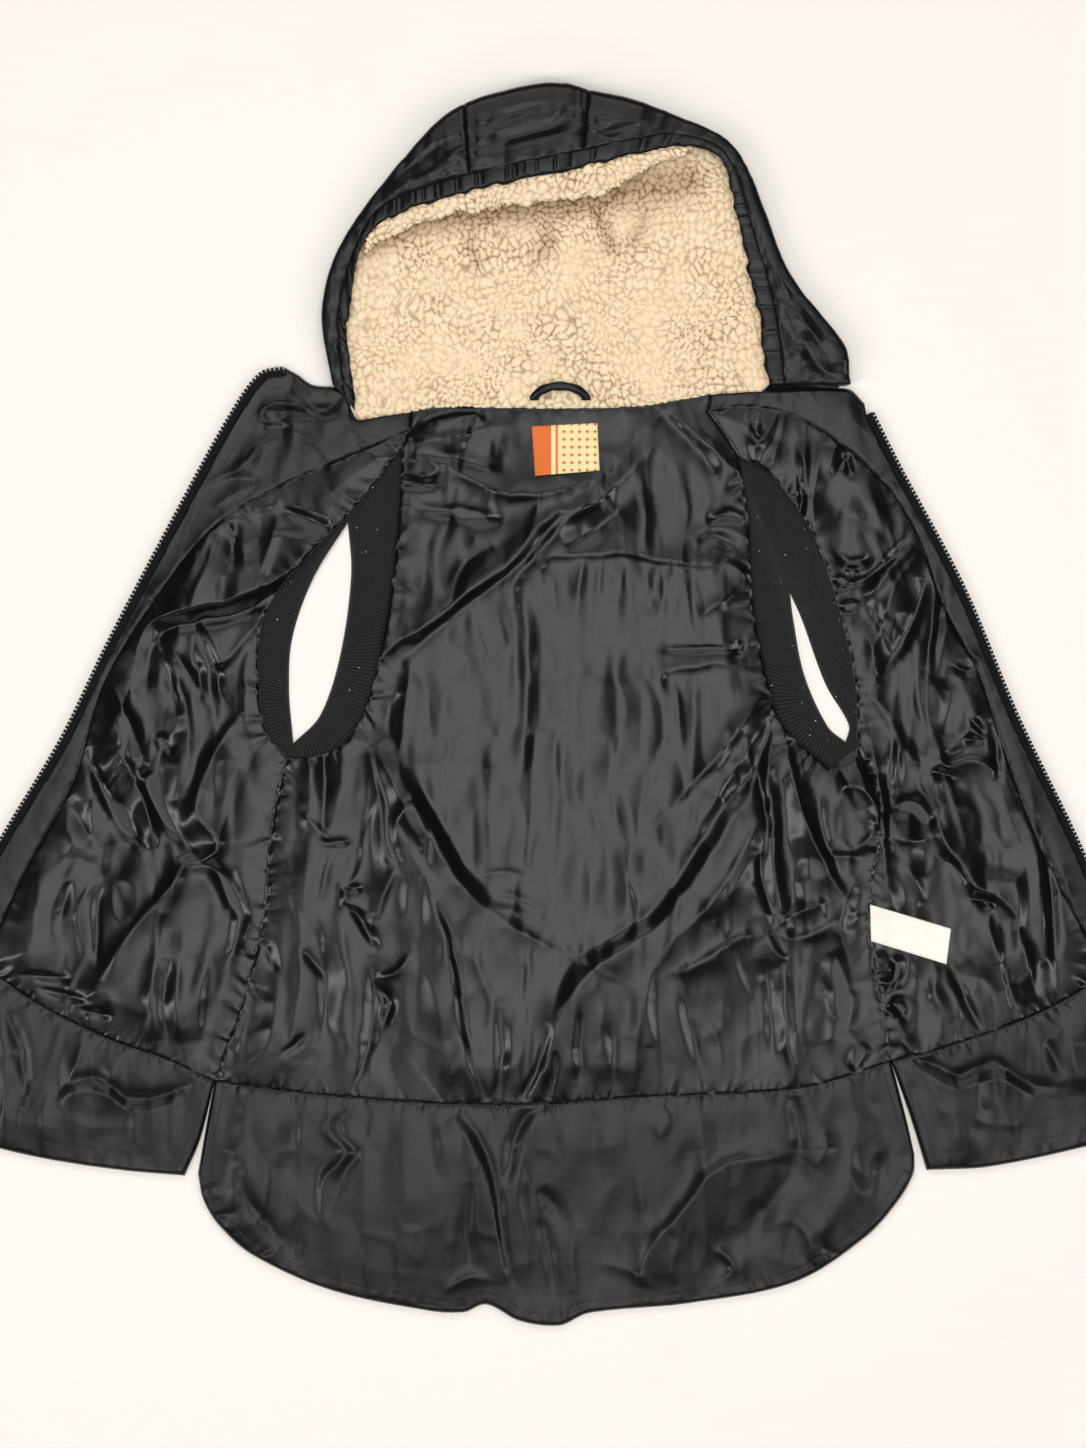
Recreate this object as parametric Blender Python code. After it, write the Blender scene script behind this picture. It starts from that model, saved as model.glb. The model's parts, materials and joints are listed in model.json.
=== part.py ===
"""A hooded padded vest with a dropped tail, unzipped and laid open flat, lining side up.

The garment lies on the plane z = 0, the hood towards +Y and the wearer's left front towards +X.
The padded shell panels lie on the surface. The satin lining and the shell-cloth facings are thin
walls on top of them, raised in soft folds and in small gathers along their seams. The hood lies on
its back with its crown folded over, so that it is a shallow pocket lined with curly pile.

Lengths are written in millimetres and become metres in build_solid.
"""

import math
from collections import namedtuple

import bmesh
import bpy
import numpy as np
from mathutils import Matrix, Vector
from mathutils.bvhtree import BVHTree
from mathutils.geometry import delaunay_2d_cdt

MM = 0.001

# The middle of the laid-out garment's outline, on the seam table's own axes
MIDDLE = (0.435, -0.278)

# Cloth and padding
SHELL_THICKNESS = 4.5
LAYER_GAP = 0.3
SKIN_UNDERSIDE = SHELL_THICKNESS + LAYER_GAP
SKIN_THICKNESS = 1.6
SKIN_PUFF = 2.6
SEAM_LIFT = 1.2
PUFF_REACH = 16.0
SEAM_INSET = 0.15
OUTER_EDGE_REACH = 30.0
OUTER_EDGE_SHARE = 0.35
RIB_THICKNESS = 3.6
RIB_EDGE_THICKNESS = 2.4
RIB_EDGE_REACH = 8.0
RIB_GRID = 26.0
LABEL_THICKNESS = 1.0
LABEL_LIFT = 1.0
LABEL_GRID = 9.0
NECK_LABEL = [(-11, 253), (48, 256), (50, 213), (-8, 208)]
CARE_LABEL = [(300, -179), (366, -200), (361, -231), (300, -213)]

# Mesh spacing, and the spacing of the lines that distances are measured on
LINE_STEP = 4.0
LEAST_STEP = 2.0
SEAM_STEP = 22.0
GATHER_STEP = 8.5
SHELL_STEP = 24.0
GRID_STEP = 36.0
FOLD_STEP = 28.0
GATHER_ROWS = ((12.0, 12.0), (27.0, 26.0))

# Zip: a moulded tooth chain on a woven tape along each front edge
CHAIN_WIDTH = 4.8
TAPE_EDGE = 9.0
CHAIN_UNDERSIDE = 4.8
CHAIN_HEIGHT = 3.2
TAPE_UNDERSIDE = 5.8
TAPE_THICKNESS = 1.2
ZIP_STEP = 26.0
ZIP_END_LENGTH = 14.0

# Slider, pull tab, retaining box and insertion pin
SLIDER_LENGTH = 10.0
SLIDER_PLATE = 0.8
SLIDER_WALL = 1.2
SLIDER_CLEARANCE = 0.35
SLIDER_HALF_WIDTH = 4.6
SLIDER_LIP = 1.8
SLIDER_BACK = 2.0
BRIDGE_WIDTH = 2.6
BRIDGE_LENGTH = 7.0
BRIDGE_THICKNESS = 1.0
BRIDGE_UNDERSIDE = 0.3
BRIDGE_ROOT = 0.3
TAB_LENGTH = 26.0
TAB_WIDTH = 7.0
TAB_THICKNESS = 1.4
TAB_WINDOW = (4.4, 5.6)
TAB_CORNER = (2.0, 3.0)
TAB_FLOOR_CLEARANCE = 0.15
PIN_RADIUS = 1.1
PIN_TAPER = 0.8
PIN_GAP = 0.4
BOX_WIDTH = 6.4
BOX_PROUD = 0.8
BOX_OFFSET = 0.7
END_SPARE = 2.0

# Hood
HOOD_WALL = 2.5
HOOD_LENGTH = 750.0
HOOD_STEPS = 48
HOOD_FLOOR_CLEARANCE = 0.1
CASING_WIDTH = 18.0
CASING_SHARE = 0.55
CASING_GAP = 0.8
CASING_RISE = 2.2
CASING_DEPTH = 2.4
CASING_WAVE_HEIGHT = 1.3
CASING_UNEVENNESS = 0.5
STATIONS_A_WAVE = 3
PILE_THICKNESS = 6.0
PILE_GRID = 34.0
BASE_STEP = 12.0
TURN_SHARE = 0.4
PILE_SEAM_INSET = 1.0
LIP_REACH = 15.0
LIP_STEPS = (11, 32)
CENTRE_STRIP_STEPS = (18, 25)

# Hanger loop: half of an ellipse seen from above
LOOP_MIDDLE = (14.5, 276.5)
LOOP_HALF_WIDTH = 23.5
LOOP_REACH = 12.0
LOOP_PLACES = 14
LOOP_RADIUS = 2.3
LOOP_RISE = 5.0

# Seams and edges: each is one smooth line through a few places on the laid-out garment
SEAMS = {
    "neck": [(-121, 267), (-94, 271), (14, 270), (86, 272), (131, 279), (151, 283)],
    # wearer's right front
    "neck edge right": [(-121, 267), (-148, 263), (-171, 260), (-178, 273), (-185, 286), (-209, 288),
                        (-228, 301)],
    "zip right": [(-235, 307), (-256, 302), (-283, 265), (-336, 169), (-393, 61), (-436, -27), (-500, -135),
                  (-540, -223), (-562, -322), (-568, -371)],
    "hem zip right": [(-560, -374), (-526, -389)],
    "hem right": [(-526, -389), (-454, -406), (-382, -417), (-324, -422)],
    "vent right": [(-324, -422), (-310, -389), (-297, -337)],
    "side right": [(-231, -45), (-243, -97), (-252, -187), (-271, -263), (-297, -337)],
    "arm front right": [(-231, -45), (-250, -22), (-257, 25), (-253, 79), (-231, 117), (-177, 173),
                        (-128, 234)],
    "shoulder low right": [(-128, 234), (-120, 250)],
    "shoulder high right": [(-120, 250), (-121, 267)],
    "facing right": [(-120, 250), (-166, 231), (-251, 193), (-301, 160), (-346, 104), (-396, 23),
                     (-425, -70), (-466, -144), (-506, -232)],
    "facing foot right": [(-506, -232), (-519, -310), (-526, -389)],
    "hem seam right": [(-506, -232), (-454, -268), (-391, -299), (-337, -318), (-297, -337)],
    # back
    "arm back right": [(-231, -45), (-215, -46), (-179, -32), (-158, 7), (-140, 88), (-130, 182),
                       (-128, 234)],
    "hem seam back": [(-297, -337), (-229, -346), (-130, -355), (-13, -358), (86, -351), (230, -343),
                      (313, -319)],
    "vent back right": [(-297, -337), (-308, -394), (-309, -432)],
    "tail": [(-309, -432), (-274, -482), (-193, -525), (-103, -544), (-72, -545), (-52, -538),
             (-22, -553), (14, -557), (40, -546), (131, -537), (226, -518), (289, -478), (332, -413)],
    "vent back left": [(332, -413), (327, -372), (313, -319)],
    "shoulder high left": [(151, 283), (148, 266)],
    "shoulder low left": [(148, 266), (160, 250), (175, 227)],
    "arm back left": [(175, 227), (184, 169), (188, 97), (199, 34), (215, -16), (258, -56)],
    "arm foot left": [(258, -56), (283, -35)],
    "side left": [(283, -35), (302, -88), (299, -133), (292, -187), (302, -250), (313, -319)],
    # wearer's left front
    "neck edge left": [(151, 283), (201, 286), (274, 287), (289, 274)],
    "zip left": [(297, 267), (320, 221), (379, 110), (428, -7), (486, -128), (535, -250), (566, -364)],
    "hem left": [(345, -417), (401, -414), (488, -396), (527, -384)],
    "hem zip left": [(527, -384), (558, -369)],
    "vent left": [(313, -319), (331, -371), (345, -417)],
    "hem seam left": [(313, -319), (356, -308), (428, -283), (472, -262), (508, -238)],
    "facing left": [(148, 266), (181, 272), (223, 265), (271, 234), (312, 196), (339, 151), (358, 97),
                    (391, 32), (410, -25), (444, -119), (481, -191), (508, -238)],
    "facing foot left": [(508, -238), (520, -310), (527, -384)],
    "arm front left": [(283, -35), (280, 25), (266, 88), (241, 158), (202, 212), (175, 227)],
    # armhole openings, each from its foot up one side to its top
    "hole front right": [(-226, -32), (-230, 16), (-227, 63), (-208, 117), (-177, 167)],
    "hole back right": [(-226, -32), (-202, -7), (-184, 47), (-174, 120), (-177, 167)],
    "rib top right": [(-177, 167), (-128, 234)],
    "rib foot right": [(-226, -32), (-231, -45)],
    "hole front left": [(272, -31), (275, -16), (254, 21), (232, 81), (222, 103)],
    "hole back left": [(272, -31), (256, -17), (235, 29), (225, 79), (222, 103)],
    "rib top left": [(222, 103), (190, 169), (175, 227)],
    "rib foot left": [(272, -31), (283, -35)],
}

# Hood lines, each from the wearer's right round to the left: where it is sewn on, its folded
# outline and its face edge
HOOD_BASE = [(-168, 262.5), (-148, 264.5), (-121, 268.5), (-94, 272), (14, 271.5), (86, 273.5),
             (131, 280.5), (151, 284.5), (201, 287.5), (262, 289)]
HOOD_FOLD = [(-184, 291), (-198, 353), (-181, 416), (-125, 491), (-76, 536), (5, 557), (61, 546), (122, 527),
             (169, 502), (196, 443), (221, 385), (265, 326), (274, 290)]
HOOD_RIM = [(-170, 268), (-182, 351), (-157, 425), (-94, 454), (5, 476), (77, 493), (127, 503), (158, 490),
            (176, 425), (193, 351), (201, 290)]

HoodStation = namedtuple("HoodStation", "share fold_height rim_height")
HOOD_HEIGHTS = [
    HoodStation(0.00, 13.0, 13.0),
    HoodStation(0.18, 15.0, 16.0),
    HoodStation(0.34, 22.0, 30.0),
    HoodStation(0.46, 24.0, 37.0),
    HoodStation(0.58, 24.0, 34.0),
    HoodStation(0.70, 20.0, 22.0),
    HoodStation(0.82, 16.0, 17.0),
    HoodStation(1.00, 14.0, 15.0),
]

# The largest soft folds of the lining and facings: start, bend and end of the crest
Fold = namedtuple("Fold", "start bend end width height")
FOLDS = [
    # back lining
    Fold((43, 205), (-13, 146), (-157, 25), 15, 13),
    Fold((95, 227), (14, 160), (1, 106), 12, 10),
    Fold((-122, 241), (-94, 239), (-58, 241), 9, 8),
    Fold((-112, 216), (-40, 188), (36, 188), 12, 8),
    Fold((20, 133), (86, 137), (170, 133), 10, 6),
    Fold((-134, -47), (-85, -137), (1, -209), 14, 10),
    Fold((-107, -155), (-67, -245), (-49, -345), 12, 8),
    Fold((190, -56), (131, -173), (50, -227), 14, 11),
    Fold((50, -227), (5, -281), (-17, -350), 14, 12),
    Fold((199, 16), (140, -47), (86, -83), 12, 7),
    Fold((14, 16), (1, -47), (-22, -128), 18, 5),
    Fold((206, -202), (232, -230), (257, -263), 10, 7),
    Fold((-193, -83), (-175, -173), (-179, -263), 12, 7),
    Fold((-229, -137), (-220, -227), (-238, -310), 10, 6),
    Fold((262, -150), (248, -215), (262, -290), 10, 6),
    # hem facing of the tail
    Fold((-58, -366), (-29, -434), (-14, -520), 15, 11),
    Fold((86, -510), (140, -434), (248, -398), 14, 9),
    Fold((-184, -366), (-185, -394), (-200, -425), 9, 6),
    Fold((32, -371), (50, -443), (41, -516), 14, 8),
    Fold((-265, -380), (-256, -434), (-193, -490), 12, 6),
    # right front
    Fold((-224, 117), (-310, 90), (-373, 25), 14, 14),
    Fold((-364, 61), (-355, -29), (-400, -128), 12, 9),
    Fold((-292, -11), (-311, -65), (-314, -110), 12, 10),
    Fold((-323, -142), (-283, -164), (-281, -223), 10, 7),
    Fold((-292, -128), (-346, -173), (-391, -227), 12, 8),
    Fold((-265, 61), (-274, -11), (-254, -65), 9, 7),
    Fold((-413, -47), (-404, -128), (-436, -200), 12, 7),
    Fold((-193, 214), (-247, 169), (-310, 133), 12, 6),
    Fold((-254, 272), (-220, 254), (-179, 250), 9, 8),
    Fold((-490, -281), (-472, -317), (-463, -349), 10, 7),
    Fold((-436, -344), (-409, -335), (-373, -349), 9, 6),
    # left front
    Fold((338, 146), (320, 97), (293, 52), 12, 8),
    Fold((343, 133), (352, 52), (343, -29), 12, 9),
    Fold((352, -43), (365, -110), (419, -187), 12, 8),
    Fold((302, -74), (320, -128), (352, -150), 12, 7),
    Fold((212, 241), (275, 187), (311, 151), 12, 7),
    Fold((446, -128), (437, -209), (374, -272), 12, 7),
    Fold((334, -330), (361, -340), (410, -326), 9, 6),
]

# Gathers along a seam: how many waves, how high, and how far in they die away
Gather = namedtuple("Gather", "seam waves height reach")
GATHERS = [
    Gather("hem seam back", 24, 1.5, 13),
    Gather("hem seam right", 9, 1.5, 13),
    Gather("hem seam left", 9, 1.5, 13),
    Gather("side right", 11, 1.4, 12),
    Gather("side left", 11, 1.4, 12),
    Gather("arm back right", 11, 1.6, 14),
    Gather("arm back left", 11, 1.6, 14),
    Gather("arm front right", 11, 1.4, 12),
    Gather("arm front left", 9, 1.4, 12),
    Gather("facing right", 24, 1.1, 11),
    Gather("facing left", 24, 1.1, 11),
]
GATHER_SEAMS = {gather.seam for gather in GATHERS}
OUTER_EDGES = ("hem right", "hem left", "tail", "vent right", "vent left", "vent back right",
               "vent back left", "zip right", "zip left", "neck edge right", "neck edge left", "neck")

Finish = namedtuple("Finish", "colour roughness")
FINISHES = {
    "shell": Finish((0.030, 0.030, 0.032), 0.42),
    "lining": Finish((0.045, 0.045, 0.043), 0.28),
    "facing": Finish((0.034, 0.034, 0.036), 0.38),
    "rib": Finish((0.012, 0.012, 0.013), 0.95),
    "pile": Finish((0.78, 0.70, 0.57), 0.95),
    "zip": Finish((0.015, 0.015, 0.016), 0.45),
    "metal": Finish((0.05, 0.05, 0.055), 0.35),
    "neck_label": Finish((0.80, 0.62, 0.38), 0.60),
    "care_label": Finish((0.85, 0.85, 0.83), 0.60),
}


# ---------------------------------------------------------------- plane curves

def smooth_line(points, step):
    """A smooth line through the points, with its places about step apart."""
    knots = [np.array(point, float) for point in points]
    if len(knots) == 2:
        dense = [knots[0] + (knots[1] - knots[0]) * share for share in np.linspace(0, 1, 12)]
    else:
        first = 2 * knots[0] - knots[1]
        last = 2 * knots[-1] - knots[-2]
        knots = [first] + knots + [last]
        dense = []
        for before, start, end, after in zip(knots, knots[1:], knots[2:], knots[3:]):
            chord = np.linalg.norm(end - start)
            tangent_in = (end - before) / (np.linalg.norm(start - before) + chord) * chord
            tangent_out = (after - start) / (np.linalg.norm(after - end) + chord) * chord
            for share in np.linspace(0, 1, 16, endpoint=False):
                square, cube = share ** 2, share ** 3
                dense.append((2 * cube - 3 * square + 1) * start
                             + (cube - 2 * square + share) * tangent_in
                             + (3 * square - 2 * cube) * end + (cube - square) * tangent_out)
        dense.append(knots[-2])
    return resample(np.array(dense), step)


def resample(line, step):
    """The line's places at even distances, about step apart, with both ends kept."""
    lengths = np.concatenate(([0.0], np.cumsum(np.linalg.norm(np.diff(line, axis=0), axis=1))))
    count = max(1, round(lengths[-1] / step))
    wanted = np.linspace(0, lengths[-1], count + 1)
    return np.column_stack([np.interp(wanted, lengths, line[:, axis]) for axis in range(line.shape[1])])


def at_shares(line, shares):
    """The places at the given shares of the line's length."""
    lengths = np.concatenate(([0.0], np.cumsum(np.linalg.norm(np.diff(line, axis=0), axis=1))))
    wanted = np.asarray(shares) * lengths[-1]
    return np.column_stack([np.interp(wanted, lengths, line[:, axis]) for axis in range(line.shape[1])])


def side_normals(line):
    """Unit normals to the right of the line's direction."""
    along = np.gradient(line, axis=0)
    along /= np.linalg.norm(along, axis=1)[:, None]
    return np.column_stack([along[:, 1], -along[:, 0]])


def project(line, places):
    """Each place's distance from the line, and how far along the line it lies."""
    start, end = line[:-1], line[1:]
    run = end - start
    lengths = np.linalg.norm(run, axis=1)
    passed = np.concatenate(([0.0], np.cumsum(lengths)))[:-1]
    offset = places[:, None, :] - start[None]
    share = np.clip((offset * run[None]).sum(2) / (lengths ** 2)[None], 0, 1)
    foot = start[None] + share[..., None] * run[None]
    distance = np.linalg.norm(places[:, None, :] - foot, axis=2)
    nearest = distance.argmin(1)
    rows = np.arange(len(places))
    return distance[rows, nearest], passed[nearest] + share[rows, nearest] * lengths[nearest]


def bezier(fold, step):
    """The crest of a fold as a line, about step between its places."""
    start, bend, end = (np.array(point, float) for point in (fold.start, fold.bend, fold.end))
    share = np.linspace(0, 1, 24)[:, None]
    return resample((1 - share) ** 2 * start + 2 * share * (1 - share) * bend + share ** 2 * end, step)


SEAM_LINES = {name: smooth_line(points, LINE_STEP) for name, points in SEAMS.items()}
FOLD_LINES = [(fold, bezier(fold, LINE_STEP)) for fold in FOLDS]


def seam(name, step):
    """A seam's places, about step apart; a leading minus takes them from its other end."""
    if name.startswith("-"):
        return resample(SEAM_LINES[name[1:]], step)[::-1]
    return resample(SEAM_LINES[name], step)


def zip_places(side, inwards, left_off=0.0):
    """Places beside a zip's outer edge, moved towards the garment, without a stretch at the hem."""
    line = SEAM_LINES[f"zip {side}"]
    inside = 1 if side == "left" else -1
    length = np.linalg.norm(np.diff(line, axis=0), axis=1).sum()
    shares = np.linspace(0, 1 - left_off / length, round(length / ZIP_STEP) + 1)
    return at_shares(line + inside * side_normals(line) * inwards, shares)


# ---------------------------------------------------------------- outlines

def closed_outline(runs):
    """One anticlockwise outline from runs of places, each starting where the last one ends."""
    places = []
    for run in runs:
        for place in run:
            if not places or np.linalg.norm(place - places[-1]) > LEAST_STEP:
                places.append(np.array(place, float))
    while np.linalg.norm(places[0] - places[-1]) < LEAST_STEP:
        places.pop()
    outline = np.array(places)
    following = np.roll(outline, -1, axis=0)
    area = (outline[:, 0] * following[:, 1] - outline[:, 1] * following[:, 0]).sum() / 2
    return outline if area > 0 else outline[::-1]


def inset(outline, distance):
    """The outline moved inwards by the distance, corners kept."""
    before = outline - np.roll(outline, 1, axis=0)
    after = np.roll(outline, -1, axis=0) - outline
    before /= np.linalg.norm(before, axis=1)[:, None]
    after /= np.linalg.norm(after, axis=1)[:, None]
    normal_before = np.column_stack([-before[:, 1], before[:, 0]])
    normal_after = np.column_stack([-after[:, 1], after[:, 0]])
    middle = normal_before + normal_after
    middle /= np.maximum(1.0, (middle * normal_before).sum(1))[:, None]
    return outline + middle * distance


def is_inside(outline, places):
    """Which places lie inside the outline."""
    x, y = places[:, 0][:, None], places[:, 1][:, None]
    start, end = outline, np.roll(outline, -1, axis=0)
    crosses = (start[:, 1][None] > y) != (end[:, 1][None] > y)
    rise = end[:, 1] - start[:, 1]
    rise = np.where(abs(rise) < 1e-9, 1e-9, rise)
    reach = (end[:, 0] - start[:, 0])[None] * (y - start[:, 1][None]) / rise[None] + start[:, 0][None]
    return (crosses & (x < reach)).sum(1) % 2 == 1


def pick_inside(outline, candidates):
    """The candidate places inside the outline that keep their own spacing from all kept before."""
    loop = np.vstack([outline, outline[:1]])
    kept = np.zeros((0, 2))
    for places, spacing, edge_spacing in candidates:
        if len(places) == 0:
            continue
        places = places[is_inside(outline, places)]
        if len(places) == 0:
            continue
        edge_distance, _ = project(loop, places)
        places = places[edge_distance > edge_spacing]
        for place in places:
            if len(kept) == 0 or np.linalg.norm(kept - place, axis=1).min() > spacing:
                kept = np.vstack([kept, place])
    return kept


def hexagonal_grid(outline, step):
    """Places of a triangular grid over the outline's box."""
    low, high = outline.min(0), outline.max(0)
    rows = []
    for index, y in enumerate(np.arange(low[1], high[1], step * math.sqrt(3) / 2)):
        x = np.arange(low[0] + (index % 2) * step / 2, high[0], step)
        rows.append(np.column_stack([x, np.full(len(x), y)]))
    return np.vstack(rows)


# ---------------------------------------------------------------- heights

def fold_height(places):
    """How far the folds raise the cloth at each place."""
    height = np.zeros(len(places))
    for fold, line in FOLD_LINES:
        distance, along = project(line, places)
        length = np.linalg.norm(np.diff(line, axis=0), axis=1).sum()
        taper = np.sin(math.pi * np.clip(along / length, 0.04, 0.96)) ** 0.6
        height = np.maximum(height, fold.height * taper * np.exp(-(distance / fold.width) ** 2))
    return height


def gather_height(places):
    """How far the gathers along the seams raise or lower the cloth at each place."""
    height = np.zeros(len(places))
    for gather in GATHERS:
        line = SEAM_LINES[gather.seam]
        distance, along = project(line, places)
        length = np.linalg.norm(np.diff(line, axis=0), axis=1).sum()
        turns = 2 * math.pi * gather.waves * along / length
        uneven = turns + 0.9 * np.sin(turns / 3.7) + 0.6 * np.sin(turns / 1.9 + 1.0)
        height += gather.height * np.sin(uneven) * np.exp(-distance / gather.reach)
    return height


def skin_underside(places, seam_distance):
    """The height of a skin's underside: puffed between its seams, folded and gathered."""
    outer = np.full(len(places), np.inf)
    for name in OUTER_EDGES:
        distance, _ = project(SEAM_LINES[name], places)
        outer = np.minimum(outer, distance)
    fade = OUTER_EDGE_SHARE + (1 - OUTER_EDGE_SHARE) * np.clip(outer / OUTER_EDGE_REACH, 0, 1)
    puff = SKIN_PUFF * (1 - np.exp(-seam_distance / PUFF_REACH))
    raised = SEAM_LIFT + puff + fold_height(places) * fade + gather_height(places)
    return SKIN_UNDERSIDE + np.maximum(0.0, raised)


# ---------------------------------------------------------------- solids

def make_material(name):
    """The Principled material of a finish."""
    material = bpy.data.materials.get(name)
    if material:
        return material
    finish = FINISHES[name]
    material = bpy.data.materials.new(name)
    material.use_nodes = True
    shader = material.node_tree.nodes["Principled BSDF"]
    shader.inputs["Base Color"].default_value = (*finish.colour, 1.0)
    shader.inputs["Roughness"].default_value = finish.roughness
    shader.inputs["Metallic"].default_value = 1.0 if name == "metal" else 0.0
    material.diffuse_color = (*finish.colour, 1.0)
    return material


def build_solid(name, mesh_data, finish, collection):
    """A named object from a bmesh in millimetres."""
    bmesh.ops.scale(mesh_data, vec=(MM, MM, MM), verts=mesh_data.verts)
    bmesh.ops.recalc_face_normals(mesh_data, faces=mesh_data.faces)
    mesh = bpy.data.meshes.new(name)
    mesh_data.to_mesh(mesh)
    mesh_data.free()
    mesh.materials.append(make_material(finish))
    mesh.shade_smooth()
    mesh.set_sharp_from_angle(angle=math.radians(40))
    item = bpy.data.objects.new(name, mesh)
    collection.objects.link(item)
    return item


def wall_from_surface(outline, inner_places, underside, thickness):
    """A wall over an outline: a triangulated surface at its underside's height, extruded upwards."""
    places = np.vstack([outline, inner_places]) if len(inner_places) else outline
    flat = [Vector((float(x), float(y))) for x, y in places]
    result = delaunay_2d_cdt(flat, [], [list(range(len(outline)))], 1, 1e-4)
    spots = np.array([tuple(spot) for spot in result[0]])
    heights = underside(spots)
    data = bmesh.new()
    verts = [data.verts.new((x, y, z)) for (x, y), z in zip(spots, heights)]
    faces = [data.faces.new([verts[index] for index in face]) for face in result[2]]
    raised = bmesh.ops.extrude_face_region(data, geom=faces, use_keep_orig=True)
    for vert in raised["geom"]:
        if isinstance(vert, bmesh.types.BMVert):
            vert.co.z += thickness(vert.co.x, vert.co.y) if callable(thickness) else thickness
    return data


def skin(name, runs, finish, collection):
    """A lining or facing panel: a thin folded wall over the padded shell."""
    lines = []
    for run in runs:
        if isinstance(run, str):
            run = seam(run, GATHER_STEP if run.lstrip("-") in GATHER_SEAMS else SEAM_STEP)
        lines.append(run)
    outline = closed_outline(lines)
    candidates = []
    for row, step in GATHER_ROWS:
        for run in runs:
            if not isinstance(run, str) or run.lstrip("-") not in GATHER_SEAMS:
                continue
            line = resample(SEAM_LINES[run.lstrip("-")], step)
            for side in (-1, 1):
                candidates.append((line + side * row * side_normals(line), step * 0.7, row * 0.8))
    for fold, line in FOLD_LINES:
        crest = bezier(fold, FOLD_STEP)
        candidates.append((crest, FOLD_STEP * 0.45, 7.0))
        for side in (-1, 1):
            candidates.append((crest + side * fold.width * 1.5 * side_normals(crest), FOLD_STEP * 0.55, 8.0))
    candidates.append((hexagonal_grid(outline, GRID_STEP), GRID_STEP * 0.72, GRID_STEP * 0.45))
    places = pick_inside(outline, candidates)
    loop = np.vstack([outline, outline[:1]])

    def underside(spots):
        return skin_underside(spots, project(loop, spots)[0])

    data = wall_from_surface(inset(outline, SEAM_INSET), places, underside, SKIN_THICKNESS)
    return build_solid(name, data, finish, collection)


def patch(name, corners, thickness, finish, carrier, collection):
    """A label: a thin sheet made from the points of the panel that it lies on, moved out."""
    outline = closed_outline([resample(np.array([start, end], float), LABEL_GRID)
                              for start, end in zip(corners, corners[1:] + corners[:1])])
    inner = pick_inside(outline, [(hexagonal_grid(outline, LABEL_GRID), LABEL_GRID * 0.7, LABEL_GRID * 0.4)])
    tree = BVHTree.FromObject(carrier, bpy.context.evaluated_depsgraph_get())

    def underside(spots):
        heights = []
        for x, y in spots:
            hit = tree.ray_cast(Vector((x * MM, y * MM, 0.2)), Vector((0, 0, -1)))[0]
            heights.append(hit.z / MM + LABEL_LIFT if hit else SKIN_UNDERSIDE + SKIN_THICKNESS + LABEL_LIFT)
        return np.array(heights)

    data = wall_from_surface(outline, inner, underside, thickness)
    return build_solid(name, data, finish, collection)


# ---------------------------------------------------------------- zip

def strip_between(name, inner_line, outer_line, bottom, height, collection):
    """A strip of even height between two lines with the same number of places."""
    data = bmesh.new()
    rows = []
    for near, far in zip(inner_line, outer_line):
        rows.append([data.verts.new((near[0], near[1], bottom)), data.verts.new((far[0], far[1], bottom))])
    faces = [data.faces.new((one[0], two[0], two[1], one[1])) for one, two in zip(rows, rows[1:])]
    raised = bmesh.ops.extrude_face_region(data, geom=faces, use_keep_orig=True)
    bmesh.ops.translate(data, vec=(0, 0, height),
                        verts=[item for item in raised["geom"] if isinstance(item, bmesh.types.BMVert)])
    return build_solid(name, data, "zip", collection)


def zip_side(side, collection):
    """The tape and the tooth chain along one front edge; the chain stops short of the end pieces."""
    strip_between(f"zip_chain_{side}", zip_places(side, CHAIN_WIDTH, ZIP_END_LENGTH),
                  zip_places(side, 0.0, ZIP_END_LENGTH), CHAIN_UNDERSIDE, CHAIN_HEIGHT, collection)
    strip_between(f"zip_tape_{side}", zip_places(side, TAPE_EDGE - LAYER_GAP),
                  zip_places(side, CHAIN_WIDTH + LAYER_GAP), TAPE_UNDERSIDE, TAPE_THICKNESS, collection)


def zip_end_frame(side, back_from_end):
    """A frame on the chain's middle line near the hem: X across it, outwards, and Y up the zip."""
    end, above = zip_places(side, CHAIN_WIDTH / 2)[[-1, -2]]
    up = Vector((*(above - end), 0)).normalized()
    across = up.cross(Vector((0, 0, 1)))
    frame = Matrix((across, up, Vector((0, 0, 1)))).transposed().to_4x4()
    frame.translation = (Vector((*end, 0)) + up * back_from_end) * MM
    return frame


def extruded_profile(name, profile, start, length, axes, collection, finish):
    """A closed profile in the plane of two axes, extruded along the third."""
    data = bmesh.new()
    first, second, third = axes
    verts = []
    for u, v in profile:
        place = [0.0, 0.0, 0.0]
        place[first], place[second], place[third] = u, v, start
        verts.append(data.verts.new(place))
    face = data.faces.new(verts)
    raised = bmesh.ops.extrude_face_region(data, geom=[face], use_keep_orig=True)
    offset = [0.0, 0.0, 0.0]
    offset[third] = length
    bmesh.ops.translate(data, vec=offset,
                        verts=[item for item in raised["geom"] if isinstance(item, bmesh.types.BMVert)])
    return build_solid(name, data, finish, collection)


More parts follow.
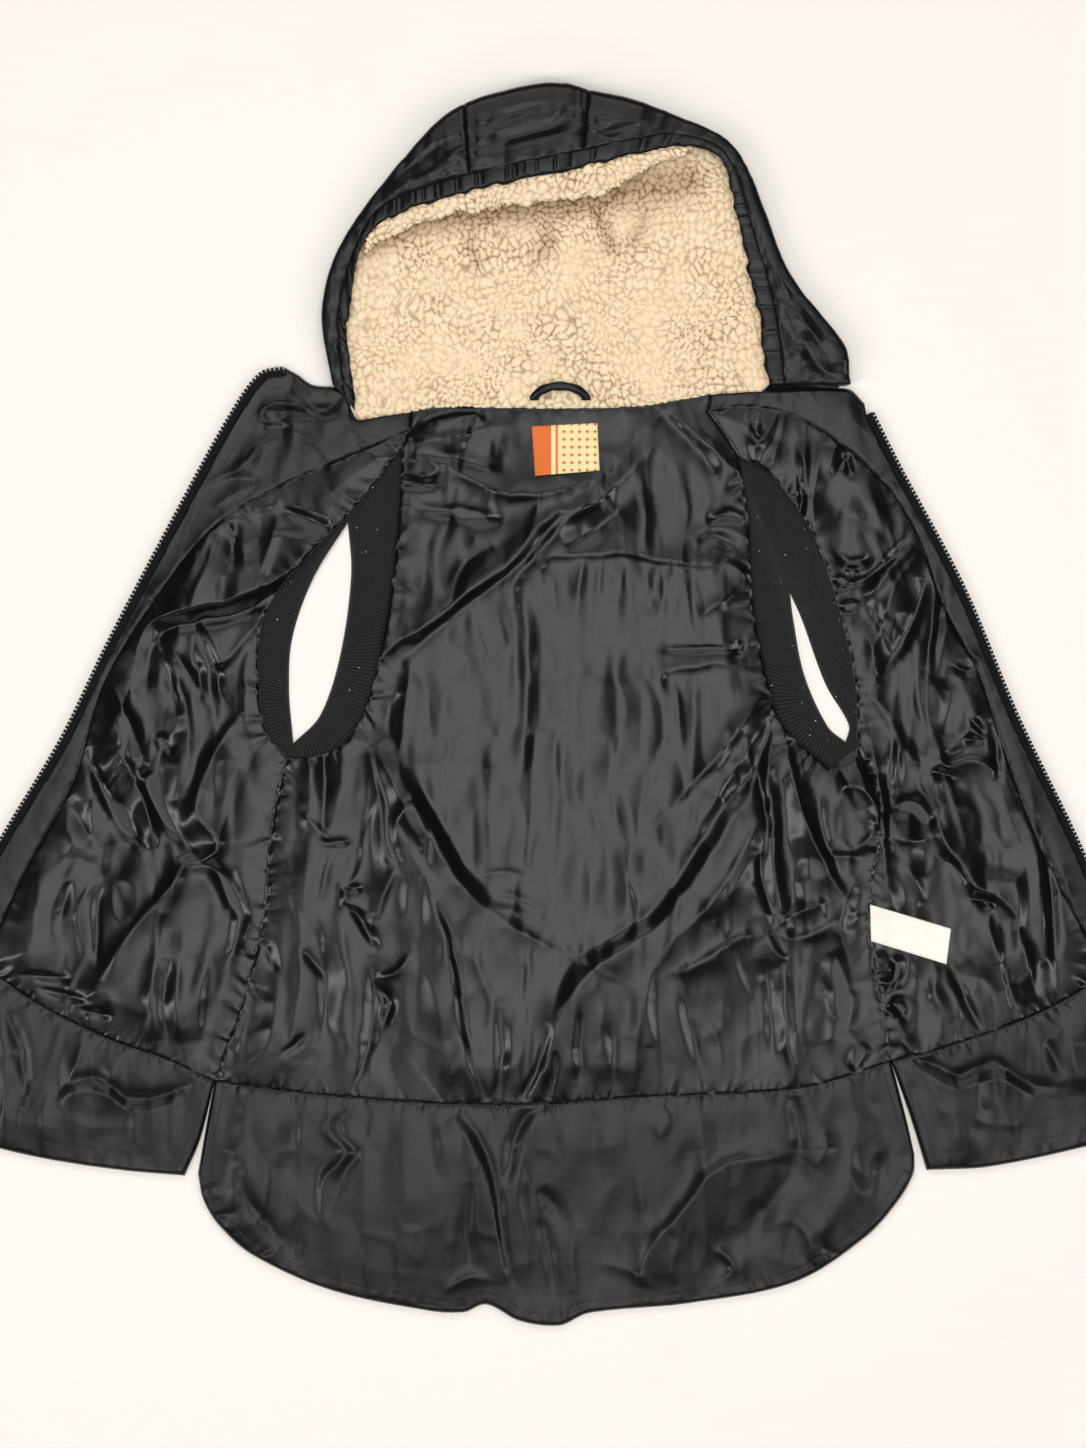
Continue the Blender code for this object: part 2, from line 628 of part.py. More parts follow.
def slider_and_tab(collection, cutters):
    """The slider at the foot of the left chain, and its pull tab, which lies on the surface."""
    frame = zip_end_frame("left", ZIP_END_LENGTH + SLIDER_BACK)
    low = CHAIN_UNDERSIDE - SLIDER_CLEARANCE
    high = CHAIN_UNDERSIDE + CHAIN_HEIGHT + SLIDER_CLEARANCE
    outside = CHAIN_WIDTH / 2 + SLIDER_CLEARANCE
    wall = outside + SLIDER_WALL
    channel = [(-SLIDER_HALF_WIDTH, low - SLIDER_PLATE), (wall, low - SLIDER_PLATE),
               (wall, high + SLIDER_PLATE), (-SLIDER_LIP, high + SLIDER_PLATE), (-SLIDER_LIP, high),
               (outside, high), (outside, low),
               (-SLIDER_HALF_WIDTH, low)]
    slider = extruded_profile("zip_slider", channel, 0.0, SLIDER_LENGTH, (0, 2, 1), collection, "metal")
    slider.matrix_world = frame
    plate_face = low - SLIDER_PLATE
    middle = SLIDER_LENGTH / 2
    half = BRIDGE_LENGTH / 2
    root = plate_face + BRIDGE_ROOT
    bridge = [(middle - half, root), (middle - half, BRIDGE_UNDERSIDE),
              (middle + half, BRIDGE_UNDERSIDE), (middle + half, root),
              (middle + half - BRIDGE_THICKNESS, root),
              (middle + half - BRIDGE_THICKNESS, BRIDGE_UNDERSIDE + BRIDGE_THICKNESS),
              (middle - half + BRIDGE_THICKNESS, BRIDGE_UNDERSIDE + BRIDGE_THICKNESS),
              (middle - half + BRIDGE_THICKNESS, root)]
    arch = extruded_profile("bridge_operand", bridge, -BRIDGE_WIDTH / 2, BRIDGE_WIDTH, (1, 2, 0), cutters,
                            "metal")
    arch.matrix_world = frame
    arch.hide_render = True
    arch.display_type = "WIRE"
    union = slider.modifiers.new("bridge", "BOOLEAN")
    union.operation = "UNION"
    union.object = arch

    pivot_height = (plate_face + BRIDGE_UNDERSIDE + BRIDGE_THICKNESS) / 2
    window_width, window_length = TAB_WINDOW
    bar = TAB_THICKNESS
    tab_outline = bpy.data.curves.new("tab_outline", "CURVE")
    tab_outline.dimensions = "2D"
    tab_outline.fill_mode = "BOTH"
    tab_outline.extrude = TAB_THICKNESS / 2 * MM
    half_width = TAB_WIDTH / 2
    cut_across, cut_along = TAB_CORNER
    outer = [(-half_width, bar / 2), (-half_width, -TAB_LENGTH + cut_along),
             (-half_width + cut_across, -TAB_LENGTH), (half_width - cut_across, -TAB_LENGTH),
             (half_width, -TAB_LENGTH + cut_along), (half_width, bar / 2)]
    window = [(-window_width / 2, -bar / 2), (window_width / 2, -bar / 2),
              (window_width / 2, -bar / 2 - window_length), (-window_width / 2, -bar / 2 - window_length)]
    for loop in (outer, window):
        spline = tab_outline.splines.new("POLY")
        spline.points.add(len(loop) - 1)
        for point, (x, y) in zip(spline.points, loop):
            point.co = (x * MM, y * MM, 0, 1)
        spline.use_cyclic_u = True
    source = bpy.data.objects.new("tab_source", tab_outline)
    collection.objects.link(source)
    bpy.context.view_layer.update()
    mesh = bpy.data.meshes.new_from_object(source.evaluated_get(bpy.context.evaluated_depsgraph_get()))
    bpy.data.objects.remove(source)
    data = bmesh.new()
    data.from_mesh(mesh)
    bmesh.ops.remove_doubles(data, verts=data.verts, dist=0.00001)
    bmesh.ops.recalc_face_normals(data, faces=data.faces)
    data.to_mesh(mesh)
    data.free()
    mesh.name = "pull_tab"
    mesh.materials.append(make_material("metal"))
    tab = bpy.data.objects.new("pull_tab", mesh)
    collection.objects.link(tab)
    drop = pivot_height - TAB_THICKNESS / 2 - TAB_FLOOR_CLEARANCE
    tilt = math.asin(drop / TAB_LENGTH)
    tab.matrix_world = (frame @ Matrix.Translation(Vector((0, middle, pivot_height)) * MM)
                        @ Matrix.Rotation(tilt, 4, "X"))
    return tab


def zip_ends(collection):
    """The retaining box at the foot of the left chain and the insertion pin of the right one."""
    box_length = ZIP_END_LENGTH - END_SPARE
    middle = CHAIN_UNDERSIDE + CHAIN_HEIGHT / 2
    data = bmesh.new()
    bmesh.ops.create_cube(data, size=1.0)
    bmesh.ops.scale(data, vec=(BOX_WIDTH, box_length, CHAIN_HEIGHT + BOX_PROUD), verts=data.verts)
    bmesh.ops.translate(data, vec=(BOX_OFFSET, box_length / 2, middle), verts=data.verts)
    box = build_solid("zip_box_left", data, "zip", collection)
    box.matrix_world = zip_end_frame("left", 0.0)
    data = bmesh.new()
    pin_length = ZIP_END_LENGTH + END_SPARE
    bmesh.ops.create_cone(data, cap_ends=True, segments=10, radius1=PIN_RADIUS * PIN_TAPER,
                          radius2=PIN_RADIUS, depth=pin_length)
    bmesh.ops.rotate(data, cent=(0, 0, 0), matrix=Matrix.Rotation(math.radians(-90), 3, "X"), verts=data.verts)
    bmesh.ops.translate(data, vec=(0, -pin_length / 2 - PIN_GAP, middle), verts=data.verts)
    pin = build_solid("zip_pin_right", data, "zip", collection)
    pin.matrix_world = zip_end_frame("right", ZIP_END_LENGTH)


# ---------------------------------------------------------------- hood

def hood_table(share, column):
    """A hood height at a share of the way round, smooth between the table's rows."""
    shares = [row.share for row in HOOD_HEIGHTS]
    values = [getattr(row, column) for row in HOOD_HEIGHTS]
    return float(np.interp(share, shares, values))


def hood_lines(shares):
    """Base, fold and rim places at the given shares, on chords between the hood's even steps."""
    steps = np.linspace(0, 1, HOOD_STEPS + 1)
    lines = []
    for points in (HOOD_BASE, HOOD_FOLD, HOOD_RIM):
        coarse = at_shares(smooth_line(points, LINE_STEP), steps)
        lines.append(np.column_stack([np.interp(shares, steps, coarse[:, axis]) for axis in range(2)]))
    return tuple(lines)


def casing_width(flange_length):
    """The rim casing's width, narrower where little of the hood is folded over."""
    return min(CASING_WIDTH, flange_length * CASING_SHARE)


def hood_section(places, share, depth, whole, lip):
    """One line through the hood's section, a set depth inside its outer face.

    whole adds the lower sheet, from the neck seam; lip is how far the line reaches past the rim,
    and without one it stops at the rim casing.
    """
    base, fold, rim = places
    fold_top = hood_table(share, "fold_height")
    rim_top = hood_table(share, "rim_height")
    flange_length = np.linalg.norm(fold - rim)
    out = (fold - rim) / flange_length
    radius = min(fold_top / 2, flange_length * TURN_SHARE)
    turn = fold - out * radius
    line = []
    if whole:
        for portion in (0.0, 0.5, 1.0):
            spot = base + (turn - base) * portion
            line.append((spot[0], spot[1], depth))
    middle = fold_top / 2
    for degrees in (-50, -15, 20, 55, 90):
        angle = math.radians(degrees)
        spot = turn + out * (radius - depth) * math.cos(angle)
        line.append((spot[0], spot[1], middle + (middle - depth) * math.sin(angle)))
    straight = flange_length - radius
    reach = straight + lip if lip else straight - casing_width(flange_length) - CASING_GAP
    for portion in (0.5, 1.0):
        spot = turn - out * reach * portion
        height = fold_top + (rim_top - fold_top) * reach * portion / straight
        line.append((spot[0], spot[1], height - depth))
    return line


def loft(sections, name, finish, collection):
    """A closed solid through rings of places, each ring two lines that run there and back."""
    data = bmesh.new()
    rings = [[data.verts.new(place) for place in ring] for ring in sections]
    count = len(rings[0])
    for one, two in zip(rings, rings[1:]):
        for index in range(count):
            following = (index + 1) % count
            data.faces.new((one[index], one[following], two[following], two[index]))
    for ring in (rings[0][::-1], rings[-1]):
        for index in range(count // 2 - 1):
            data.faces.new((ring[index], ring[index + 1], ring[count - 2 - index], ring[count - 1 - index]))
    bmesh.ops.triangulate(data, faces=data.faces)
    return build_solid(name, data, finish, collection)


def hood_wall(name, steps, depths, finish, collection, whole=True, lip=0.0):
    """A wall of the hood between two depths, over some of the steps round it."""
    shares = np.arange(steps[0], steps[1] + 1) / HOOD_STEPS
    clear = SEAM_INSET / HOOD_LENGTH
    shares[0] += clear
    shares[-1] -= clear
    sections = []
    for share, places in zip(shares, zip(*hood_lines(shares))):
        outer = hood_section(places, share, depths[0], whole, lip)
        inner = hood_section(places, share, depths[1], whole, lip)
        sections.append(outer + inner[::-1])
    return loft(sections, name, finish, collection)


def hood_casing(collection):
    """The padded, gathered band round the hood's face edge."""
    shares = np.linspace(0, 1, HOOD_STEPS * 2 + 1)
    _, folds, rims = hood_lines(shares)
    sections = []
    for index, (fold, rim, share) in enumerate(zip(folds, rims, shares)):
        flange_length = np.linalg.norm(fold - rim)
        out = (fold - rim) / flange_length
        width = casing_width(flange_length)
        turn = 2 * math.pi * index / STATIONS_A_WAVE
        wave = CASING_WAVE_HEIGHT * math.sin(turn + CASING_UNEVENNESS * math.sin(index / 4))
        rim_top = hood_table(share, "rim_height")
        top = rim_top + CASING_RISE + wave
        bottom = rim_top - CASING_DEPTH
        middle = (top + bottom) / 2
        ring = []
        for inwards, height in ((0.0, middle), (width * 0.25, top), (width * 0.75, top), (width, middle),
                                (width, bottom + 0.4), (width * 0.2, bottom)):
            spot = rim + out * inwards
            ring.append((spot[0], spot[1], height))
        sections.append(ring)
    return loft(sections, "hood_rim_casing", "shell", collection)


def hood_lining_back(collection):
    """The pile lining on the hood's lower sheet, which shows through the face opening."""
    shares = np.linspace(0, 1, HOOD_STEPS + 1)
    bases, folds, rims = hood_lines(shares)
    width = np.linalg.norm(folds - rims, axis=1)
    out = (folds - rims) / width[:, None]
    radii = np.minimum([hood_table(share, "fold_height") / 2 for share in shares], width * TURN_SHARE)
    edge = folds - out * (radii + PILE_SEAM_INSET)[:, None]
    outline = closed_outline([resample(bases, BASE_STEP), edge[::-1]])
    inner = pick_inside(outline, [(hexagonal_grid(outline, PILE_GRID), PILE_GRID * 0.7, PILE_GRID * 0.4)])
    data = wall_from_surface(inset(outline, PILE_SEAM_INSET), inner,
                             lambda spots: np.full(len(spots), HOOD_WALL + LAYER_GAP), PILE_THICKNESS)
    return build_solid("hood_lining_back", data, "pile", collection)


def hood(collection):
    """The hood's three shell panels, its rim casing and its pile lining."""
    first, last = CENTRE_STRIP_STEPS
    shell_depths = (HOOD_FLOOR_CLEARANCE, HOOD_WALL)
    pile_depths = (HOOD_WALL + LAYER_GAP, HOOD_WALL + LAYER_GAP + PILE_THICKNESS)
    hood_wall("hood_side_right", (0, first), shell_depths, "shell", collection)
    hood_wall("hood_centre_strip", (first, last), shell_depths, "shell", collection)
    hood_wall("hood_side_left", (last, HOOD_STEPS), shell_depths, "shell", collection)
    hood_wall("hood_lining_crown", LIP_STEPS, pile_depths, "pile", collection, whole=False, lip=LIP_REACH)
    hood_lining_back(collection)
    hood_casing(collection)


def hanger_loop(collection):
    """A rolled satin loop from the neck seam, standing a little off the pile."""
    floor = HOOD_WALL + LAYER_GAP + PILE_THICKNESS + LAYER_GAP + LOOP_RADIUS
    curve = bpy.data.curves.new("hanger_loop", "CURVE")
    curve.dimensions = "3D"
    curve.bevel_depth = LOOP_RADIUS * MM
    curve.bevel_resolution = 2
    curve.use_fill_caps = True
    spline = curve.splines.new("POLY")
    spline.points.add(LOOP_PLACES - 1)
    for index, point in enumerate(spline.points):
        angle = math.pi * index / (LOOP_PLACES - 1)
        x = LOOP_MIDDLE[0] - LOOP_HALF_WIDTH * math.cos(angle)
        y = LOOP_MIDDLE[1] + LOOP_REACH * math.sin(angle)
        z = floor + LOOP_RISE * math.sin(angle)
        point.co = (x * MM, y * MM, z * MM, 1)
    source = bpy.data.objects.new("loop_source", curve)
    collection.objects.link(source)
    bpy.context.view_layer.update()
    mesh = bpy.data.meshes.new_from_object(source.evaluated_get(bpy.context.evaluated_depsgraph_get()))
    bpy.data.objects.remove(source)
    data = bmesh.new()
    data.from_mesh(mesh)
    bmesh.ops.remove_doubles(data, verts=data.verts, dist=0.00001)
    bmesh.ops.scale(data, vec=(1 / MM, 1 / MM, 1 / MM), verts=data.verts)
    bpy.data.meshes.remove(mesh)
    return build_solid("hanger_loop", data, "facing", collection)


# ---------------------------------------------------------------- assembly

def shell_panels(collection):
    """The three padded shell panels, flat on the surface."""
    edges = {side: zip_places(side, TAPE_EDGE) for side in ("right", "left")}
    outlines = {
        "shell_back": ("neck", "shoulder high left", "shoulder low left", "arm back left", "arm foot left",
                       "side left", "-vent back left", "-tail", "-vent back right", "-side right",
                       "arm back right", "shoulder low right", "shoulder high right"),
        "shell_front_right": ("neck edge right", edges["right"], "hem zip right", "hem right", "vent right",
                              "-side right", "arm front right", "shoulder low right", "shoulder high right"),
        "shell_front_left": ("neck edge left", edges["left"], "-hem zip left", "-hem left", "-vent left",
                             "-side left", "arm front left", "-shoulder low left", "-shoulder high left"),
    }
    for name, names in outlines.items():
        runs = [seam(run, SHELL_STEP) if isinstance(run, str) else run for run in names]
        outline = closed_outline(runs)
        data = wall_from_surface(inset(outline, SEAM_INSET), [], lambda spots: np.zeros(len(spots)),
                                 SHELL_THICKNESS)
        build_solid(name, data, "shell", collection)


def rib_bands(collection):
    """The knitted bands round the armholes, a front half and a back half each."""
    outlines = {
        "rib_front_right": ("arm front right", "-rib top right", "-hole front right", "rib foot right"),
        "rib_back_right": ("arm back right", "-rib top right", "-hole back right", "rib foot right"),
        "rib_front_left": ("arm front left", "-rib top left", "-hole front left", "rib foot left"),
        "rib_back_left": ("arm back left", "arm foot left", "-rib foot left", "hole back left", "rib top left"),
    }
    for name, names in outlines.items():
        outline = closed_outline([seam(run, SHELL_STEP) for run in names])
        loop = np.vstack([outline, outline[:1]])
        inner = pick_inside(outline, [(hexagonal_grid(outline, RIB_GRID), RIB_GRID * 0.7, RIB_GRID * 0.3)])

        def thickness(x, y, loop=loop):
            distance = project(loop, np.array([[x, y]]))[0][0]
            share = min(1.0, distance / RIB_EDGE_REACH)
            return RIB_EDGE_THICKNESS + (RIB_THICKNESS - RIB_EDGE_THICKNESS) * share

        data = wall_from_surface(inset(outline, SEAM_INSET), inner, lambda spots: np.zeros(len(spots)),
                                 thickness)
        build_solid(name, data, "rib", collection)


def skins(collection):
    """The satin linings and the shell-cloth facings, by name."""
    edges = {side: zip_places(side, TAPE_EDGE) for side in ("right", "left")}
    outlines = {
        "lining_back": ("neck", "shoulder high left", "shoulder low left", "arm back left", "arm foot left",
                        "side left", "-hem seam back", "-side right", "arm back right", "shoulder low right",
                        "shoulder high right"),
        "lining_front_right": ("side right", "-hem seam right", "-facing right", "-shoulder low right",
                               "-arm front right"),
        "lining_front_left": ("side left", "hem seam left", "-facing left", "shoulder low left",
                              "-arm front left"),
        "facing_front_right": ("neck edge right", edges["right"], "hem zip right", "-facing foot right",
                               "-facing right", "shoulder high right"),
        "facing_front_left": ("neck edge left", edges["left"], "-hem zip left", "-facing foot left",
                              "-facing left", "-shoulder high left"),
        "facing_hem_back": ("hem seam back", "-vent back left", "-tail", "-vent back right"),
        "facing_hem_right": ("hem seam right", "-vent right", "-hem right", "-facing foot right"),
        "facing_hem_left": ("hem seam left", "facing foot left", "-hem left", "-vent left"),
    }
    return {name: skin(name, runs, name.split("_")[0], collection) for name, runs in outlines.items()}


def labels(panels, collection):
    """The woven neck label and the printed-cloth care label."""
    patch("neck_label", NECK_LABEL, LABEL_THICKNESS, "neck_label", panels["lining_back"], collection)
    patch("care_label", CARE_LABEL, LABEL_THICKNESS, "care_label", panels["lining_front_left"], collection)


def main():
    """Build the whole garment."""
    for item in list(bpy.data.objects):
        bpy.data.objects.remove(item)
    collection = bpy.data.collections.new("hooded_padded_vest")
    cutters = bpy.data.collections.new("cutters")
    for group in (collection, cutters):
        bpy.context.scene.collection.children.link(group)
    shell_panels(collection)
    panels = skins(collection)
    rib_bands(collection)
    labels(panels, collection)
    hood(collection)
    hanger_loop(collection)
    for side in ("right", "left"):
        zip_side(side, collection)
    zip_ends(collection)
    slider_and_tab(collection, cutters)
    for item in (*collection.objects, *cutters.objects):
        item.matrix_world = Matrix.Translation(Vector((-MIDDLE[0], -MIDDLE[1], 0)) * MM) @ item.matrix_world


main()
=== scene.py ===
"""Looks of a hooded padded vest, unzipped and laid open flat with its lining up.

The garment lies on the plane z = 0 with its hood towards +Y and the wearer's left front towards +X.
Lengths are written in millimetres on the axes of the seam table, and become metres in the CAD frame
where a mesh is made.
"""

import json
import logging
import math
from collections.abc import Iterable, Sequence
from dataclasses import dataclass
from enum import Enum

import bpy
import numpy as np
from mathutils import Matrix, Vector
from mathutils.geometry import delaunay_2d_cdt

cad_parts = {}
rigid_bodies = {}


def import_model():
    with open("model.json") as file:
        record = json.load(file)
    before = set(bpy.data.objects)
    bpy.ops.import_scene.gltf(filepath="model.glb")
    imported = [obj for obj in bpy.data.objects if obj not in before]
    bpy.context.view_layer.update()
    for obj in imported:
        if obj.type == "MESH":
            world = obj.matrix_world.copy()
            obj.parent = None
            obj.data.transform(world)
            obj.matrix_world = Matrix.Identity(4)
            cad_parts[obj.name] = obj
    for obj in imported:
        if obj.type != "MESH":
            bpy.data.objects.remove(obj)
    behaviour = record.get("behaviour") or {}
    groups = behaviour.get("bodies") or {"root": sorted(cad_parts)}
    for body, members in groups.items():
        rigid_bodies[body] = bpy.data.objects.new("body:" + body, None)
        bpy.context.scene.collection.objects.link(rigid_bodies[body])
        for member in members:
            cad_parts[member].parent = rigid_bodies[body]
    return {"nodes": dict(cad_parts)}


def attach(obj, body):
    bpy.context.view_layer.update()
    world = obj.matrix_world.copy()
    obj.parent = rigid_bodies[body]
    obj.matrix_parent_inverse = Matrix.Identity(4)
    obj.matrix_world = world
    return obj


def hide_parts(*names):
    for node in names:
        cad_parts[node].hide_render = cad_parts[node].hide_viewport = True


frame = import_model()
log = logging.getLogger("vest")

MM = 0.001
MIDDLE = np.array((0.435, -0.278))
VEST = "vest"

# Mesh spacing of cloth, of its outlines, and of the lines that seams and folds are measured on
CLOTH_STEP = 2.4
EDGE_STEP = 1.5
LINE_STEP = 4.0

# Near its outline a panel has the finer mesh of its gathers, in a band about this wide
SEAM_BAND = 7.0
# How much nearer than its spacing an inner place may come to the outline
EDGE_CLEARANCE = 0.6
# Places nearer than this are one place, where two runs of an outline meet
SAME_PLACE = 0.8
# Steps of a smooth line between two of its knots, and the places measured at once beside a line
KNOT_STEPS = 16
MOST_AT_ONCE = 6000
# More cells than any outline spans, so that one number stands for a cell's row and column
CELL_KEY = (1, 10000)

# Heights over the surface that the garment lies on
SHELL_TOP = 4.5
SEAM_FLOOR = 6.4
# How the cloth rises beside a seam: by how much, within about how far
SEAM_RISES = ((0.6, 0.9), (1.6, 26.0))

# The zip: how far in from its outer edge the facing starts, and the places along it
TAPE_EDGE = 7.6
ZIP_PLACES = 240

# The name that the pile's and the knit's meshes keep their painted shade under, darkest in their hollows
PAINTED_SHADE_ATTRIBUTE = "hollows"

LEAST_AREA_SHARE = 0.31

# Seams and edges of the laid-out garment, each one smooth line through a few places
SEAMS = {
    "neck": [(-121, 267), (-94, 271), (14, 270), (86, 272), (131, 279), (151, 283)],
    # wearer's right front
    "neck edge right": [(-121, 267), (-148, 263), (-170, 260), (-173, 274), (-178, 286), (-190, 289),
                        (-209, 291), (-222, 300), (-234.5, 306.8)],
    "zip right": [(-235, 307), (-256, 302), (-283, 265), (-336, 169), (-393, 61), (-436, -27),
                  (-500, -135), (-540, -223), (-562, -322), (-568, -371)],
    "hem zip right": [(-560, -374), (-526, -389)],
    "hem right": [(-526, -389), (-454, -406), (-382, -417), (-324, -422)],
    "vent right": [(-324, -422), (-310, -389), (-297, -337)],
    "side right": [(-231, -45), (-243, -97), (-252, -187), (-271, -263), (-297, -337)],
    "arm front right": [(-231, -45), (-250, -22), (-257, 25), (-253, 79), (-231, 117), (-177, 173),
                        (-128, 234)],
    "shoulder low right": [(-128, 234), (-120, 250)],
    "shoulder high right": [(-120, 250), (-121, 267)],
    "facing right": [(-120, 250), (-166, 231), (-251, 193), (-301, 160), (-346, 104), (-396, 23),
                     (-425, -70), (-466, -144), (-506, -232)],
    "facing foot right": [(-506, -232), (-519, -310), (-526, -389)],
    "hem seam right": [(-506, -232), (-454, -268), (-391, -299), (-337, -318), (-297, -337)],
    # back
    "arm back right": [(-231, -45), (-215, -46), (-179, -32), (-158, 7), (-140, 88), (-130, 182),
                       (-128, 234)],
    "hem seam back": [(-297, -337), (-229, -346), (-130, -355), (-13, -358), (86, -351), (230, -343),
                      (313, -319)],
    "vent back right": [(-297, -337), (-307, -391), (-312, -420)],
    "tail": [(-312, -420), (-307, -444), (-292, -468), (-262, -494), (-193, -525), (-103, -544), (-72, -545),
             (-52, -538), (-22, -553), (14, -557), (40, -546), (131, -537), (226, -518), (289, -478),
             (319, -445), (333, -420), (334, -403)],
    "vent back left": [(334, -403), (327, -372), (313, -319)],
    "shoulder high left": [(151, 283), (148, 266)],
    "shoulder low left": [(148, 266), (160, 250), (175, 227)],
    "arm back left": [(175, 227), (184, 169), (188, 97), (199, 34), (215, -16), (258, -56)],
    "arm foot left": [(258, -56), (283, -35)],
    "side left": [(283, -35), (302, -88), (299, -133), (292, -187), (302, -250), (313, -319)],
    # wearer's left front
    "neck edge left": [(151, 283), (201, 286), (274, 287), (289, 274)],
    "zip left": [(297, 267), (320, 221), (379, 110), (428, -7), (486, -128), (535, -250), (566, -364)],
    "hem left": [(345, -417), (401, -414), (488, -396), (527, -384)],
    "hem zip left": [(527, -384), (558, -369)],
    "vent left": [(313, -319), (331, -371), (345, -417)],
    "hem seam left": [(313, -319), (356, -308), (428, -283), (472, -262), (508, -238)],
    "facing left": [(148, 266), (181, 272), (223, 265), (271, 234), (312, 196), (339, 151), (358, 97),
                    (391, 32), (410, -25), (444, -119), (481, -191), (508, -238)],
    "facing foot left": [(508, -238), (520, -310), (527, -384)],
    "arm front left": [(283, -35), (280, 25), (266, 88), (241, 158), (202, 212), (175, 227)],
    # armhole openings, each from its foot up one side to its top
    "hole front right": [(-226, -32), (-230, 16), (-227, 63), (-208, 117), (-177, 167)],
    "hole back right": [(-226, -32), (-202, -7), (-184, 47), (-174, 120), (-177, 167)],
    "hole front left": [(272, -31), (275, -16), (254, 21), (232, 81), (222, 103)],
    "hole back left": [(272, -31), (256, -17), (235, 29), (225, 79), (222, 103)],
}


# ------------------------------------------------------------------ plane geometry

def smooth_line(points: Sequence[tuple[float, float]], step: float) -> np.ndarray:
    """A smooth line through a few places.

    Args:
        points: The places that the line goes through, in order.
        step: About how far apart the line's own places are.

    Returns:
        The line's places, one row each.
    """
    knots = [np.array(point, float) for point in points]
    if len(knots) == 2:
        return resample(np.array(knots), step)
    knots = [2 * knots[0] - knots[1]] + knots + [2 * knots[-1] - knots[-2]]
    dense = []
    for before, start, end, after in zip(knots, knots[1:], knots[2:], knots[3:]):
        chord = np.linalg.norm(end - start)
        tangent_in = (end - before) / (np.linalg.norm(start - before) + chord) * chord
        tangent_out = (after - start) / (np.linalg.norm(after - end) + chord) * chord
        for share in np.linspace(0, 1, KNOT_STEPS, endpoint=False):
            square, cube = share ** 2, share ** 3
            dense.append((2 * cube - 3 * square + 1) * start + (cube - 2 * square + share) * tangent_in
                         + (3 * square - 2 * cube) * end + (cube - square) * tangent_out)
    dense.append(knots[-2])
    return resample(np.array(dense), step)


def lengths_along(line: np.ndarray) -> np.ndarray:
    """How far along the line each of its places lies."""
    return np.concatenate(([0.0], np.cumsum(np.linalg.norm(np.diff(line, axis=0), axis=1))))


def at_shares(line: np.ndarray, shares: np.ndarray) -> np.ndarray:
    """The places at the given shares of the line's length.

    Args:
        line: The line's places.
        shares: The shares, from 0 at its start to 1 at its end.

    Returns:
        One place for each share.
    """
    lengths = lengths_along(line)
    wanted = np.asarray(shares) * lengths[-1]
    return np.column_stack([np.interp(wanted, lengths, line[:, axis]) for axis in range(line.shape[1])])


def resample(line: np.ndarray, step: float) -> np.ndarray:
    """The line's places at even distances, about step apart, with both ends kept."""
    count = max(1, round(lengths_along(line)[-1] / step))
    return at_shares(line, np.linspace(0, 1, count + 1))


def side_normals(line: np.ndarray) -> np.ndarray:
    """Unit normals to the right of the line's direction.

    Args:
        line: The line's places.

    Returns:
        One normal for each place.
    """
    along = np.gradient(line, axis=0)
    along /= np.linalg.norm(along, axis=1)[:, None]
    return np.column_stack([along[:, 1], -along[:, 0]])


def project(line: np.ndarray, places: np.ndarray, reach: float) -> tuple[np.ndarray, ...]:
    """Where places lie beside a line.

    Args:
        line: The line's places.
        places: The places to measure.
        reach: How far from the line a place is still measured.

    Returns:
        The rows of the places within reach, their distance from the line with a plus on its right,
        and how far along the line they lie.
    """
    low, high = line.min(0) - reach, line.max(0) + reach
    rows = np.flatnonzero(((places > low) & (places < high)).all(1))
    if len(rows) == 0:
        return rows, np.zeros(0), np.zeros(0)
    start, run = line[:-1], np.diff(line, axis=0)
    squares = (run ** 2).sum(1)
    passed = lengths_along(line)[:-1]
    distances, alongs = [], []
    for chunk in np.array_split(rows, len(rows) // MOST_AT_ONCE + 1):
        offset = places[chunk][:, None, :] - start[None]
        share = np.clip((offset * run[None]).sum(2) / squares[None], 0, 1)
        apart = np.linalg.norm(offset - share[..., None] * run[None], axis=2)
        nearest = apart.argmin(1)
        order = np.arange(len(chunk))
        to_place = offset[order, nearest]
        turn = run[nearest, 1] * to_place[:, 0] - run[nearest, 0] * to_place[:, 1]
        distances.append(np.where(turn < 0, -1, 1) * apart[order, nearest])
        alongs.append(passed[nearest] + share[order, nearest] * np.sqrt(squares[nearest]))
    distance, along = np.concatenate(distances), np.concatenate(alongs)
    near = abs(distance) < reach
    return rows[near], distance[near], along[near]


def closed_outline(runs: Iterable[np.ndarray]) -> np.ndarray:
    """One anticlockwise outline from runs of places.

    Args:
        runs: The runs, each starting where the last one ends.

    Returns:
        The outline's places, its first not repeated at the end.
    """
    places: list[np.ndarray] = []
    for run in runs:
        for place in run:
            if not places or np.linalg.norm(place - places[-1]) > SAME_PLACE:
                places.append(np.array(place, float))
    while np.linalg.norm(places[0] - places[-1]) < SAME_PLACE:
        places.pop()
    outline = np.array(places)
    return outline if outline_area(outline) > 0 else outline[::-1]


def outline_area(outline: np.ndarray) -> float:
    """The area inside an outline, with a minus where it runs clockwise."""
    following = np.roll(outline, -1, axis=0)
    return float((outline[:, 0] * following[:, 1] - outline[:, 1] * following[:, 0]).sum() / 2)


